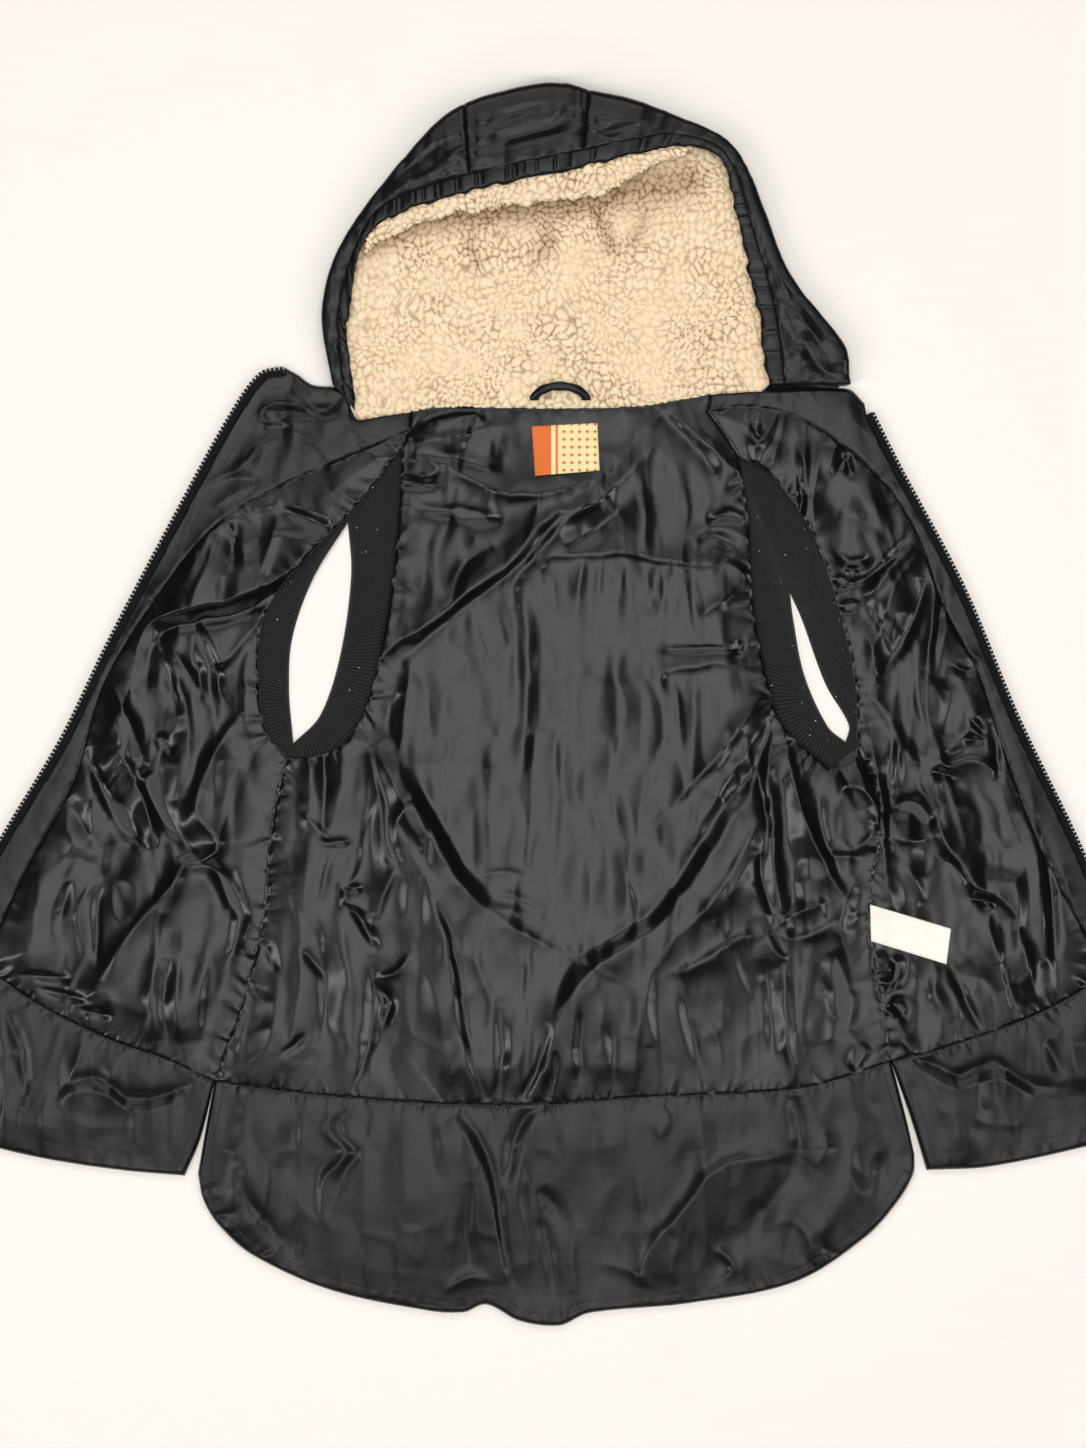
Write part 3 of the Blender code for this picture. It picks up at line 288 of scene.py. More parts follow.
def is_inside(outline: np.ndarray, places: np.ndarray) -> np.ndarray:
    """Which places lie inside the outline.

    Args:
        outline: The outline.
        places: The places.

    Returns:
        True for each place inside.
    """
    inside = np.zeros(len(places), bool)
    for start, end in zip(outline, np.roll(outline, -1, axis=0)):
        if start[1] == end[1]:
            continue
        crosses = (start[1] > places[:, 1]) != (end[1] > places[:, 1])
        reach = (end[0] - start[0]) * (places[:, 1] - start[1]) / (end[1] - start[1]) + start[0]
        inside ^= crosses & (places[:, 0] < reach)
    return inside


def is_beside(outline: np.ndarray, places: np.ndarray, band: float) -> np.ndarray:
    """Which places lie within about one or two bands of the outline.

    Args:
        outline: The outline.
        places: The places.
        band: The band's width.

    Returns:
        True for each place beside the outline.
    """
    marked = np.floor(outline / band).astype(int)
    cells = np.floor(places / band).astype(int)
    beside = np.zeros(len(places), bool)
    for step in np.ndindex(3, 3):
        taken = np.unique((marked + step - 1) @ CELL_KEY)
        beside |= np.isin(cells @ CELL_KEY, taken)
    return beside


def inner_grid(outline: np.ndarray, step: float, edge_step: float | None = None) -> np.ndarray:
    """Places of a triangular grid inside an outline, clear of its edge.

    Args:
        outline: The outline.
        step: How far apart the places are.
        edge_step: How far apart they are beside the outline, where that is finer.

    Returns:
        The places.
    """
    low, high = outline.min(0), outline.max(0)
    parts = []
    for pitch, by_edge in ((step, False), (edge_step or step, True)):
        rows = []
        for index, y in enumerate(np.arange(low[1], high[1], pitch * math.sqrt(3) / 2)):
            x = np.arange(low[0] + (index % 2) * pitch / 2, high[0], pitch)
            rows.append(np.column_stack([x, np.full(len(x), y)]))
        places = np.vstack(rows)
        places = places[is_beside(outline, places, SEAM_BAND) == by_edge]
        places = places[is_inside(outline, places)]
        if by_edge:
            near, _, _ = project(np.vstack([outline, outline[:1]]), places, pitch * EDGE_CLEARANCE)
            places = np.delete(places, near, axis=0)
        parts.append(places)
    return np.vstack(parts)


def seam(name: str, step: float = EDGE_STEP) -> np.ndarray:
    """A seam's places, about step apart; a leading minus takes them from its other end."""
    line = smooth_line(SEAMS[name.lstrip("-")], step)
    return line[::-1] if name.startswith("-") else line


class Side(Enum):
    """The wearer's two sides."""

    RIGHT = "right"
    LEFT = "left"


def zip_line(side: Side, inwards: float) -> np.ndarray:
    """Places beside a zip's outer edge, moved towards the garment."""
    line = at_shares(smooth_line(SEAMS[f"zip {side.value}"], LINE_STEP), np.linspace(0, 1, ZIP_PLACES))
    return line + (1 if side is Side.LEFT else -1) * side_normals(line) * inwards


class Noise:
    """Smooth value noise over a plane, the same on every run."""

    SIDE = 128

    def __init__(self, cell: float, seed: int) -> None:
        """Fill the lattice with values from -1 to 1."""
        self.cell = cell
        self.values = np.random.default_rng(seed).uniform(-1, 1, (self.SIDE, self.SIDE))

    def at(self, places: np.ndarray) -> np.ndarray:
        """The noise at some places.

        Args:
            places: The places, two columns.

        Returns:
            The value at each place, from -1 to 1.
        """
        scaled = places / self.cell
        corner = np.floor(scaled).astype(int)
        part = scaled - corner
        part = part * part * (3 - 2 * part)
        u, v = corner[:, 0] % self.SIDE, corner[:, 1] % self.SIDE
        u2, v2 = (u + 1) % self.SIDE, (v + 1) % self.SIDE
        low = self.values[u, v] * (1 - part[:, 0]) + self.values[u2, v] * part[:, 0]
        high = self.values[u, v2] * (1 - part[:, 0]) + self.values[u2, v2] * part[:, 0]
        return low * (1 - part[:, 1]) + high * part[:, 1]


# ------------------------------------------------------------------ finishes

def linear(hex_colour: str) -> tuple[float, float, float, float]:
    """The linear colour of an sRGB hex value.

    Args:
        hex_colour: The value, such as #1a1a1c.

    Returns:
        Red, green, blue and a full alpha.
    """
    channels = [int(hex_colour[start:start + 2], 16) / 255 for start in (1, 3, 5)]
    red, green, blue = (c / 12.92 if c <= 0.04045 else ((c + 0.055) / 1.055) ** 2.4 for c in channels)
    return red, green, blue, 1.0


def add_node(tree: bpy.types.NodeTree, kind: str, settings: dict | None = None,
             links: dict | None = None) -> bpy.types.Node:
    """Add a node to a tree.

    Args:
        tree: The node tree.
        kind: The node's type name.
        settings: Values by property name, or by socket name or number.
        links: Output sockets by the name or number of the input that they feed.

    Returns:
        The new node.
    """
    node = tree.nodes.new(kind)
    for name, value in (settings or {}).items():
        if isinstance(name, str) and hasattr(node, name):
            setattr(node, name, value)
        else:
            node.inputs[name].default_value = value
    for name, source in (links or {}).items():
        tree.links.new(source, node.inputs[name])
    return node


# The sockets of a mix node that mixes colours
MIX_SHARE, MIX_FIRST, MIX_SECOND, MIX_RESULT = 0, 6, 7, 2


def mix_colours(tree: bpy.types.NodeTree, share: bpy.types.NodeSocket, first: str | bpy.types.NodeSocket,
                second: str) -> bpy.types.NodeSocket:
    """Mix a second colour into a first.

    Args:
        tree: The node tree.
        share: How much of the second there is.
        first: The first colour, as a hex value or a socket.
        second: The second colour's hex value.

    Returns:
        The mixed colour.
    """
    settings = {"data_type": "RGBA", MIX_SECOND: linear(second)}
    links = {MIX_SHARE: share}
    if isinstance(first, str):
        settings[MIX_FIRST] = linear(first)
    else:
        links[MIX_FIRST] = first
    return add_node(tree, "ShaderNodeMix", settings, links).outputs[MIX_RESULT]


# How far light travels inside pile and ribbon, and how finely a mottle is broken up
SCATTER_DEPTH = 3.0
MOTTLE_DETAIL = 4.0


@dataclass(frozen=True)
class Grain:
    """A bump pattern: noise, voronoi cells or waves of one real size."""

    kind: str
    size_mm: float
    depth_mm: float
    stretch: tuple[float, float, float] = (1.0, 1.0, 1.0)
    turn_deg: float = 0.0
    detail: float = 2.0


@dataclass(frozen=True)
class Finish:
    """A surface: its colours, how it takes light, and the patterns pressed or woven into it."""

    name: str
    dark: str
    light: str
    roughness: float
    ior: float = 1.5
    metallic: float = 0.0
    specular: float = 0.5
    sheen: float = 0.0
    sheen_roughness: float = 0.5
    anisotropic: float = 0.0
    mottle_mm: float = 30.0
    rough_swing: float = 0.05
    subsurface: float = 0.0
    grains: tuple[Grain, ...] = ()

    def material(self) -> bpy.types.Material:
        """The finish as a material, made once.

        Returns:
            The material.
        """
        made = bpy.data.materials.get(self.name)
        if made:
            return made
        made = bpy.data.materials.new(self.name)
        made.use_nodes = True
        tree = made.node_tree
        tree.nodes.clear()
        place = add_node(tree, "ShaderNodeTexCoord").outputs["Object"]
        scale = 1 / (self.mottle_mm * MM)
        mottle = add_node(tree, "ShaderNodeTexNoise", {"Scale": scale, "Detail": MOTTLE_DETAIL},
                          {"Vector": place}).outputs["Fac"]
        colour = mix_colours(tree, mottle, self.dark, self.light)
        rough = add_node(tree, "ShaderNodeMapRange", {"To Min": self.roughness - self.rough_swing,
                                                      "To Max": self.roughness + self.rough_swing},
                         {"Value": mottle}).outputs[0]
        shader = add_node(tree, "ShaderNodeBsdfPrincipled", {
            "Metallic": self.metallic, "IOR": self.ior, "Specular IOR Level": self.specular,
            "Sheen Weight": self.sheen, "Sheen Roughness": self.sheen_roughness,
            "Anisotropic": self.anisotropic, "Subsurface Weight": self.subsurface,
            "Subsurface Scale": SCATTER_DEPTH * MM,
        }, {"Base Color": self.coloured(tree, place, colour), "Roughness": rough})
        normal = None
        for grain in self.grains:
            normal = self.bump(tree, place, grain, normal)
        if normal:
            tree.links.new(normal, shader.inputs["Normal"])
        add_node(tree, "ShaderNodeOutputMaterial", links={"Surface": shader.outputs[0]})
        return made

    def coloured(self, tree: bpy.types.NodeTree, place: bpy.types.NodeSocket,
                 colour: bpy.types.NodeSocket) -> bpy.types.NodeSocket:
        """The finish's colour; finishes with a pattern of their own lay it over this one."""
        return colour

    def bump(self, tree: bpy.types.NodeTree, place: bpy.types.NodeSocket, grain: Grain,
             under: bpy.types.NodeSocket | None) -> bpy.types.NodeSocket:
        """A bump node for one grain over the one under it.

        Args:
            tree: The material's node tree.
            place: The place on the object.
            grain: The pattern.
            under: The normal of the pattern below, if there is one.

        Returns:
            The new normal.
        """
        scale = tuple(part / (grain.size_mm * MM) for part in grain.stretch)
        moved = add_node(tree, "ShaderNodeMapping", {"Rotation": (0, 0, math.radians(grain.turn_deg)),
                                                     "Scale": scale}, {"Vector": place}).outputs[0]
        if grain.kind == "noise":
            height = add_node(tree, "ShaderNodeTexNoise", {"Scale": 1.0, "Detail": grain.detail},
                              {"Vector": moved}).outputs["Fac"]
        elif grain.kind == "cells":
            height = add_node(tree, "ShaderNodeTexVoronoi", {"Scale": 1.0}, {"Vector": moved}).outputs[0]
        else:
            height = add_node(tree, "ShaderNodeTexWave", {"Scale": 1.0, "Distortion": grain.detail},
                              {"Vector": moved}).outputs["Fac"]
        links = {"Height": height}
        if under:
            links["Normal"] = under
        return add_node(tree, "ShaderNodeBump", {"Strength": 1.0, "Distance": grain.depth_mm * MM},
                        links).outputs[0]


# Polyester satin, calendered: a smooth face of long floats, so flats mirror the softbox and slopes go dark
SATIN_LINING = Finish("polyester_satin_calendered", "#050506", "#0b0b0c", 0.22, specular=0.26, sheen=0.01,
                      mottle_mm=22.0, rough_swing=0.03,
                      grains=(Grain("noise", 12.0, 0.10, (1.0, 0.3, 1.0), 8.0, 3.0),
                              Grain("noise", 1.6, 0.015, detail=1.0)))

# Nylon taffeta, plain woven and down-proofed: duller than the satin, with fine creases from wear
TAFFETA_SHELL = Finish("nylon_taffeta_woven", "#0c0c0d", "#131314", 0.28, specular=0.205, sheen=0.015,
                       mottle_mm=26.0, rough_swing=0.04,
                       grains=(Grain("noise", 13.0, 0.16, (1.0, 0.5, 1.0), -25.0, 3.0),
                               Grain("noise", 1.4, 0.03, detail=1.0)))

# Acetal, injection moulded: zip teeth with a satin moulding gloss
MOULDED_ACETAL = Finish("acetal_moulded", "#0a0a0b", "#101011", 0.45, ior=1.48, specular=0.2, mottle_mm=4.0)

# Polyester twill tape, woven: dull, with its ribs along the zip
WOVEN_TAPE = Finish("polyester_tape_woven", "#0d0d0e", "#161617", 0.72, specular=0.15, sheen=0.04,
                    mottle_mm=5.0, grains=(Grain("waves", 1.2, 0.15, turn_deg=45.0, detail=0.5),))

# Zinc, die cast and black lacquered: a hard smooth gloss
LACQUERED_ZINC = Finish("zinc_die_cast_lacquered", "#0d0d0e", "#141416", 0.28, mottle_mm=6.0,
                        rough_swing=0.03)

# Polyester sewing thread, spun: matt, a little lighter than the cloth round it
SEWING_THREAD = Finish("polyester_thread_spun", "#19191a", "#262627", 0.6, specular=0.3, sheen=0.1,
                       mottle_mm=2.0)

# Polyester ribbon, satin woven and blank: white with a soft gloss
CARE_RIBBON = Finish("polyester_ribbon_satin", "#ece8dc", "#f7f3e8", 0.45, sheen=0.1, subsurface=0.1,
                     mottle_mm=12.0, grains=(Grain("noise", 0.8, 0.03),))

# Painted board, matt: the plain warm white surface under the garment
PAINTED_FLOOR = Finish("board_painted_matt", "#f2eee9", "#f2eee9", 0.9, specular=0.1, mottle_mm=900.0)


@dataclass(frozen=True)
class ShadedHollowsFinish(Finish):
    """A finish of raised yarns, with painted shade, a darker colour, in the hollows that its mesh marks."""

    # The colour of the painted shade in the hollows
    hollow: str = "#000000"

    def coloured(self, tree: bpy.types.NodeTree, place: bpy.types.NodeSocket,
                 colour: bpy.types.NodeSocket) -> bpy.types.NodeSocket:
        """The yarns' colour, with painted shade in the hollows between them.

        Args:
            tree: The material's node tree.
            place: The place on the object.
            colour: The yarns' colour.

        Returns:
            The colour with its hollows.
        """
        # Painted shade: the mesh's share darkens the colour towards the hollow colour
        share = add_node(tree, "ShaderNodeAttribute", {"attribute_name": PAINTED_SHADE_ATTRIBUTE}).outputs["Fac"]
        return mix_colours(tree, share, colour, self.hollow)


# Wool-touch acrylic, rib-knitted: matt, with painted shade between its ribs and under its free edge, and its
# yarns as the fine grain
RIB_KNIT = ShadedHollowsFinish("acrylic_rib_knit", "#1a1a1b", "#2c2c2d", 0.85, specular=0.2, sheen=0.2,
                          mottle_mm=3.0, grains=(Grain("noise", 0.9, 0.15, detail=2.0),), hollow="#060607")

# Polyester pile, tumbled into curls: a soft warm white that scatters light, with a brown painted shade in its
# hollows
CURLY_PILE = ShadedHollowsFinish("polyester_pile_tumbled", "#ecd4ad", "#f9e6c9", 0.9, specular=0.15, sheen=0.15,
                            mottle_mm=16.0, subsurface=0.1,
                            grains=(Grain("noise", 1.6, 0.5, detail=4.0),), hollow="#7b5a32")

# Cotton lint, caught on the knit and the cloth: tiny matt white specks
COTTON_LINT = Finish("cotton_lint_loose", "#c9c7c2", "#f2f0ea", 0.9, specular=0.1, mottle_mm=4.0)


class NeckRibbonFinish(Finish):
    """Damask ribbon, jacquard woven: an orange band beside a cream ground with rows of small diamonds."""

    ORANGE = "#e2702a"
    BAND_EDGE = 6.0
    STRIPE = (10.0, 12.0)
    MOTIF_PITCH = 7.0
    MOTIF_HALF = 0.26
    # How far the rows of diamonds stay clear of the stripe
    MOTIF_MARGIN = 2.0

    def coloured(self, tree: bpy.types.NodeTree, place: bpy.types.NodeSocket,
                 colour: bpy.types.NodeSocket) -> bpy.types.NodeSocket:
        """The woven band, stripe and diamonds over the cream ground.

        Args:
            tree: The material's node tree.
            place: The place on the object.
            colour: The ground's colour.

        Returns:
            The woven colour.
        """
        across, down, _ = add_node(tree, "ShaderNodeSeparateXYZ", links={0: place}).outputs

        def worked(operation: str, first: bpy.types.NodeSocket, second: float | bpy.types.NodeSocket = 0.0,
                   third: float = 0.0) -> bpy.types.NodeSocket:
            """One step of arithmetic on places.

            Args:
                operation: What is done.
                first: The socket that it is done to.
                second: Another socket or a number.
                third: A number, where the operation takes one.

            Returns:
                The result.
            """
            linked = {0: first} if isinstance(second, float) else {0: first, 1: second}
            settings = {"operation": operation, 2: third}
            if isinstance(second, float):
                settings[1] = second
            return add_node(tree, "ShaderNodeMath", settings, linked).outputs[0]

        low, high = self.STRIPE
        band = worked("LESS_THAN", across, self.BAND_EDGE * MM)
        stripe = worked("COMPARE", across, (low + high) / 2 * MM, (high - low) / 2 * MM)
        parts = [worked("ABSOLUTE", worked("SUBTRACT", worked("FRACT", worked("DIVIDE", way,
                                                                                self.MOTIF_PITCH * MM)), 0.5))
                 for way in (across, down)]
        diamond = worked("LESS_THAN", worked("ADD", parts[0], parts[1]), self.MOTIF_HALF)
        field = worked("MULTIPLY", diamond, worked("GREATER_THAN", across, (high + self.MOTIF_MARGIN) * MM))
        woven = worked("MAXIMUM", worked("MAXIMUM", band, stripe), field)
        return mix_colours(tree, woven, colour, self.ORANGE)


NECK_RIBBON = NeckRibbonFinish("polyester_damask_ribbon", "#f0dca0", "#f8e8b4", 0.6, sheen=0.1, mottle_mm=8.0,
                               grains=(Grain("waves", 0.9, 0.05, detail=0.2),))


# ------------------------------------------------------------------ meshes

# What the triangulation gives back, and how near two of its places are one
KEEP_INSIDE = 1
MERGE_DISTANCE = 1e-4


def add_piece(name: str, verts: np.ndarray, faces: Sequence[Sequence[int]],
              finish: Finish) -> bpy.types.Object:
    """Make a mesh object that rides on the vest, from places on the seam table's axes.

    Args:
        name: The piece's name.
        verts: The places, three columns.
        faces: The vertex rows of each face.
        finish: The surface finish.

    Returns:
        The new object.
    """
    placed = np.asarray(verts, float).copy()
    placed[:, :2] -= MIDDLE
    mesh = bpy.data.meshes.new(name)
    mesh.from_pydata((placed * MM).tolist(), [], [list(map(int, face)) for face in faces])
    mesh.validate()
    mesh.materials.append(finish.material())
    mesh.shade_smooth()
    piece = bpy.data.objects.new(name, mesh)
    bpy.context.scene.collection.objects.link(piece)
    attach(piece, VEST)
    log.info("%s: %d vertices, %d faces", name, len(mesh.vertices), len(mesh.polygons))
    return piece


def mark_painted_shade(piece: bpy.types.Object, hollows: np.ndarray) -> None:
    """Keep how much painted shade each vertex takes, from 0 to 1, on the piece's mesh for its colour."""
    piece.data.attributes.new(PAINTED_SHADE_ATTRIBUTE, "FLOAT", "POINT").data.foreach_set("value", hollows)


def triangulate(outline: np.ndarray, inner: np.ndarray) -> tuple[np.ndarray, list]:
    """Triangles over an outline and the places inside it.

    Args:
        outline: The anticlockwise outline.
        inner: Places inside it.

    Returns:
        The places used, and the rows of each triangle.
    """
    places = np.vstack([outline, inner]) if len(inner) else outline
    flat = [Vector((float(x), float(y))) for x, y in places]
    result = delaunay_2d_cdt(flat, [], [list(range(len(outline)))], KEEP_INSIDE, MERGE_DISTANCE)
    return np.array([tuple(spot) for spot in result[0]]), result[2]


def grid_faces(rows: int, columns: int, closed: bool = False) -> list[tuple[int, ...]]:
    """Quads over a grid of vertices kept row by row.

    Args:
        rows: The number of rows.
        columns: The number of vertices in a row.
        closed: Whether each row's ends are joined.

    Returns:
        The vertex rows of each quad.
    """
    faces = []
    for row in range(rows - 1):
        for column in range(columns if closed else columns - 1):
            following = (column + 1) % columns
            faces.append((row * columns + column, row * columns + following,
                          (row + 1) * columns + following, (row + 1) * columns + column))
    return faces


# ------------------------------------------------------------------ relief of the lining side

@dataclass(frozen=True)
class Crease:
    """A soft fold of the cloth along a line: its width to the left and right of it, and its height."""

    points: tuple[tuple[float, float], ...]
    left: float
    right: float
    height: float


# The folds of the lining side: width to the left, width to the right, height, and the line's places.
# A minus height is a trough, and a fold that is far narrower on one side drops off steeply there.
CREASES = tuple(Crease(points, left, right, height) for left, right, height, points in (
    # The collar's corners
    (2.2, 5, 3.1, ((-202, 262), (-221, 270), (-241, 273), (-252, 269), (-254, 261), (-247, 255),
                   (-234, 252))),
    (4, 4, -2.6, ((-241, 263), (-225, 265), (-202, 261))),
    (3, 3, -2.2, ((-254, 255), (-243, 251), (-230, 250))),
    (6, 6, -3.1, ((-214, 275), (-203, 268), (-191, 270), (-181, 280), (-176, 289))),
    (6, 3, 1.9, ((-211, 281), (-198, 285), (-184, 282))),
    (5, 2, 1.2, ((-247, 288), (-234, 282), (-221, 275), (-214, 277))),
    (3, 2, 1, ((-234, 288), (-229, 291), (-221, 279))),
    (4, 2, 1, ((-215, 291), (-211, 284), (-209, 275))),
    (7, 3, 1.6, ((-308, 198), (-290, 207), (-270, 219), (-256, 234), (-236, 250))),
    (5, 5, -1.6, ((-295, 200), (-275, 206), (-254, 205))),
    (6, 2.5, 1.1, ((-299, 180), (-283, 190), (-266, 197))),
    (3, 2, 0.8, ((-212, 243), (-202, 232), (-194, 223))),
    (4, 2, 1.1, ((-180, 252), (-167, 241), (-162, 232))),
    (5, 2.5, 1, ((-232, 250), (-218, 243), (-209, 238))),
    (5, 3, 0.8, ((-263, 244), (-270, 230), (-277, 214))),
    (3, 5, -1.9, ((171, 280), (164, 273), (158, 264))),
    (6, 2.5, 1.2, ((275, 264), (288, 250), (304, 234))),
    (4, 2, 1, ((281, 268), (293, 252), (306, 237))),
    (8, 3, 1.1, ((178, 275), (198, 277), (218, 273))),
    # Back: under the neck
    (4, 18, 4.7, ((-121, 243), (-103, 254), (-62, 263), (-53, 254))),
    (5, 13, 2.3, ((-125, 239), (-94, 242), (-58, 249), (-40, 254))),
    (10, 9, -4.1, ((-116, 227), (-76, 223), (-42, 214))),
    (25, 7, 4.7, ((-121, 230), (-94, 221), (-58, 200), (-22, 191), (14, 194), (41, 205), (48, 199))),
    (4, 10, 2.3, ((-125, 225), (-103, 223), (-95, 214), (-107, 207), (-125, 208))),
    (5, 5, -3, ((-130, 205), (-112, 201), (-94, 199))),
    (7, 7, -4.1, ((-122, 181), (-94, 177), (-35, 167))),
    (9, 8, -3.6, ((-44, 146), (-71, 128), (-92, 88))),
    (7, 27, 6.2, ((46, 196), (32, 180), (10, 173), (-8, 160), (-26, 133), (-49, 115), (-76, 97), (-103, 74),
     (-130, 61), (-149, 43), (-158, 25))),
    (5, 5, -2.6, ((23, 181), (-4, 151), (-22, 131), (-58, 102), (-94, 73), (-128, 41))),
    (7, 18, 3.9, ((95, 227), (68, 205), (50, 187), (23, 169), (1, 146), (-22, 119), (-28, 106), (-22, 83))),
    (9, 7, -3, ((73, 182), (50, 164), (19, 142))),
    (18, 5, 3, ((-1, 106), (-4, 124), (10, 137), (32, 137), (68, 139), (104, 133), (149, 130),
     (172, 135))),
    (4, 10, 1.4, ((34, 133), (31, 97))),
    (4, 10, 1.2, ((53, 135), (49, 95))),
    (4, 10, 1.4, ((72, 135), (70, 100))),
    (4, 10, 1.1, ((95, 131), (92, 97))),
    (4, 10, 1.2, ((116, 128), (113, 99))),
    (6, 16, 1.9, ((86, 214), (91, 178), (91, 140))),
    (8, 10, -3.6, ((104, 266), (131, 241), (157, 209))),
    (5, 13, 3, ((113, 266), (149, 234), (178, 210))),
    (6, 6, -3.6, ((146, 167), (166, 174), (182, 169))),
    (6, 6, -3, ((138, 146), (154, 153), (174, 145))),
    (4, 10, 2.3, ((160, 133), (175, 126), (184, 113))),
    (4, 10, 1.9, ((175, 106), (163, 97), (140, 81))),
    (4, 4, -2.6, ((178, 61), (173, 47))),
    (3, 3, -2.1, ((104, 52), (140, 53), (176, 50))),
    (13, 5, 2.3, ((109, 7), (106, 29), (140, 38), (185, 41))),
    (9, 9, -2.1, ((-26, 106), (-13, 61), (-14, 7), (-22, -74))),
    (10, 10, -1.7, ((61, 52), (67, -11), (59, -83))),
    (14, 36, 1.2, ((23, 61), (28, -11), (14, -83))),
    (12, 31, 1.1, ((-67, 61), (-58, 7), (-67, -47))),
    (12, 31, 1.7, ((131, 7), (100, -47), (86, -119))),
    (6, 16, 3.9, ((199, 16), (172, -25), (140, -61), (113, -92))),
    (6, 16, 3.9, ((203, 0), (178, -47), (154, -83), (131, -128))),
    (5, 6, -3.6, ((207, -9), (193, -47), (173, -83))),
    (10, 10, -3, ((-134, 16), (-140, -11), (-143, -38))),
    # Back: the two long folds that meet low down
    (17, 44, 6.6, ((-149, -25), (-134, -52), (-119, -83), (-101, -119), (-85, -144), (-62, -173),
     (-35, -193), (1, -211))),
    (8, 8, -2.6, ((-116, -61), (-94, -101), (-74, -139), (-47, -169))),
    (3, 8, 1.2, ((-58, -152), (-35, -148), (-17, -152))),
    (8, 3, 1.4, ((-50, -167), (-26, -170), (-2, -179))),
    (8, 3, 1.1, ((-45, -181), (-22, -184), (2, -191))),
    (3, 8, 1.1, ((-32, -197), (-13, -204), (7, -218))),
    (5, 13, 3.4, ((-131, -128), (-133, -103), (-122, -89), (-108, -94), (-95, -117), (-83, -143))),
    (6, 33, 4.7, ((-121, -124), (-104, -155), (-89, -200), (-78, -250), (-71, -290), (-60, -335),
     (-50, -357))),
    (4, 4, -3, ((-103, -159), (-87, -196), (-76, -250), (-68, -299), (-58, -340), (-47, -359))),
    (54, 15, 6.9, ((202, -52), (181, -83), (160, -115), (142, -144), (122, -171), (97, -200), (54, -227),
     (30, -250), (16, -272), (7, -304), (-13, -359))),
    (8, 8, -2.6, ((181, -61), (151, -101), (131, -139), (104, -178), (59, -209), (25, -232), (7, -272))),
    (18, 7, 3, ((212, -74), (181, -124), (157, -167), (133, -193), (111, -216), (99, -241))),
    (4, 4, -2.6, ((4, -290), (-3, -319), (-20, -355))),
    (4, 4, -2.6, ((11, -308), (7, -335), (4, -355))),
    (18, 5, 3, ((206, -202), (178, -206), (154, -220), (131, -234), (112, -240))),
    (4, 10, 2.8, ((205, -202), (221, -187), (257, -173))),
    (4, 10, 2.3, ((205, -202), (226, -207), (247, -201), (272, -186))),
    (3, 8, 2.3, ((202, -206), (209, -218), (219, -227))),
    (13, 5, 2.3, ((203, -198), (199, -178), (196, -155))),
    (13, 5, 2.8, ((217, -227), (216, -263), (218, -299), (227, -344))),
    (5, 5, -2.1, ((200, -218), (202, -263), (206, -317))),
    (16, 6, 1.5, ((236, -227), (231, -272), (233, -319))),
    (7, 8, -2.1, ((259, -218), (268, -250), (265, -281))),
    (4, 10, 5.4, ((218, -31), (226, -65), (233, -97), (249, -133), (271, -173))),
    (11, 8, -4.7, ((215, -61), (218, -128), (223, -184))),
    (6, 7, -3.6, ((243, -74), (251, -112), (265, -155))),
    (10, 4, 3.9, ((203, -29), (200, -74), (205, -110), (207, -146), (212, -187))),
    (4, 4, -4.1, ((194, -52), (197, -83), (202, -112))),
    (5, 5, -4.1, ((196, -128), (197, -155), (204, -187))),
    (6, 16, 2.3, ((191, -125), (177, -155), (163, -175), (151, -200))),
    (13, 5, 3, ((262, -94), (272, -71), (286, -74), (299, -94), (293, -117), (275, -128), (265, -117))),
    (3, 3, -1.7, ((256, -135), (286, -135))),
    (16, 6, 2.3, ((283, -148), (274, -171), (268, -200), (275, -229), (278, -250))),
    (9, 9, -2.6, ((275, -254), (272, -290))),
    (7, 7, -2.6, ((293, -304), (275, -326))),
    (10, 4, 2.3, ((297, -128), (293, -173), (296, -218), (303, -263), (310, -301))),
    (6, 16, 1.9, ((100, -227), (93, -263), (100, -308))),
    (6, 6, -2.1, ((122, -236), (131, -281), (140, -317), (146, -346))),
    (16, 6, 1.4, ((52, -263), (48, -317))),
    (5, 5, -1.9, ((34, -272), (32, -340))),
    (5, 6, -1.7, ((61, -281), (63, -346))),
    (6, 16, 1.4, ((86, -263), (83, -317), (79, -349))),
    (6, 6, -1.9, ((-40, -268), (-37, -313), (-40, -353))),
    (6, 16, 1.4, ((-22, -263), (-21, -308), (-25, -353))),
    (5, 5, -2.6, ((-155, -227), (-153, -263), (-160, -308), (-175, -350))),
    (13, 5, 1.5, ((-162, -299), (-169, -326), (-178, -351))),
    (3, 8, 2.3, ((-149, -242), (-134, -237), (-119, -222))),
    (4, 4, -3.6, ((-148, -252), (-139, -267), (-145, -287))),
    (3, 8, 1.9, ((-220, -97), (-200, -112), (-178, -129))),
    (4, 4, -2.6, ((-202, -121), (-175, -121))),
    (8, 3, 1.5, ((-192, -128), (-196, -151), (-200, -175))),
    (4, 4, -2.6, ((-179, -162), (-164, -162))),
    (4, 4, -3.6, ((-175, -178), (-164, -193), (-151, -215))),
    (10, 4, 2.3, ((-184, -155), (-176, -176), (-160, -184))),
    (4, 10, 3.9, ((-157, -38), (-148, -83), (-143, -128), (-133, -143))),
    (4, 10, 3, ((-133, -143), (-142, -164), (-151, -193))),
    (13, 5, 3.4, ((-153, -36), (-131, -83), (-112, -121))),
    (21, 8, 1.9, ((-229, -155), (-218, -209), (-221, -263), (-232, -317))),
    (7, 18, 1.7, ((-188, -178), (-178, -227), (-173, -272), (-178, -335))),
    (7, 7, -2.1, ((-203, -209), (-196, -250), (-200, -299))),
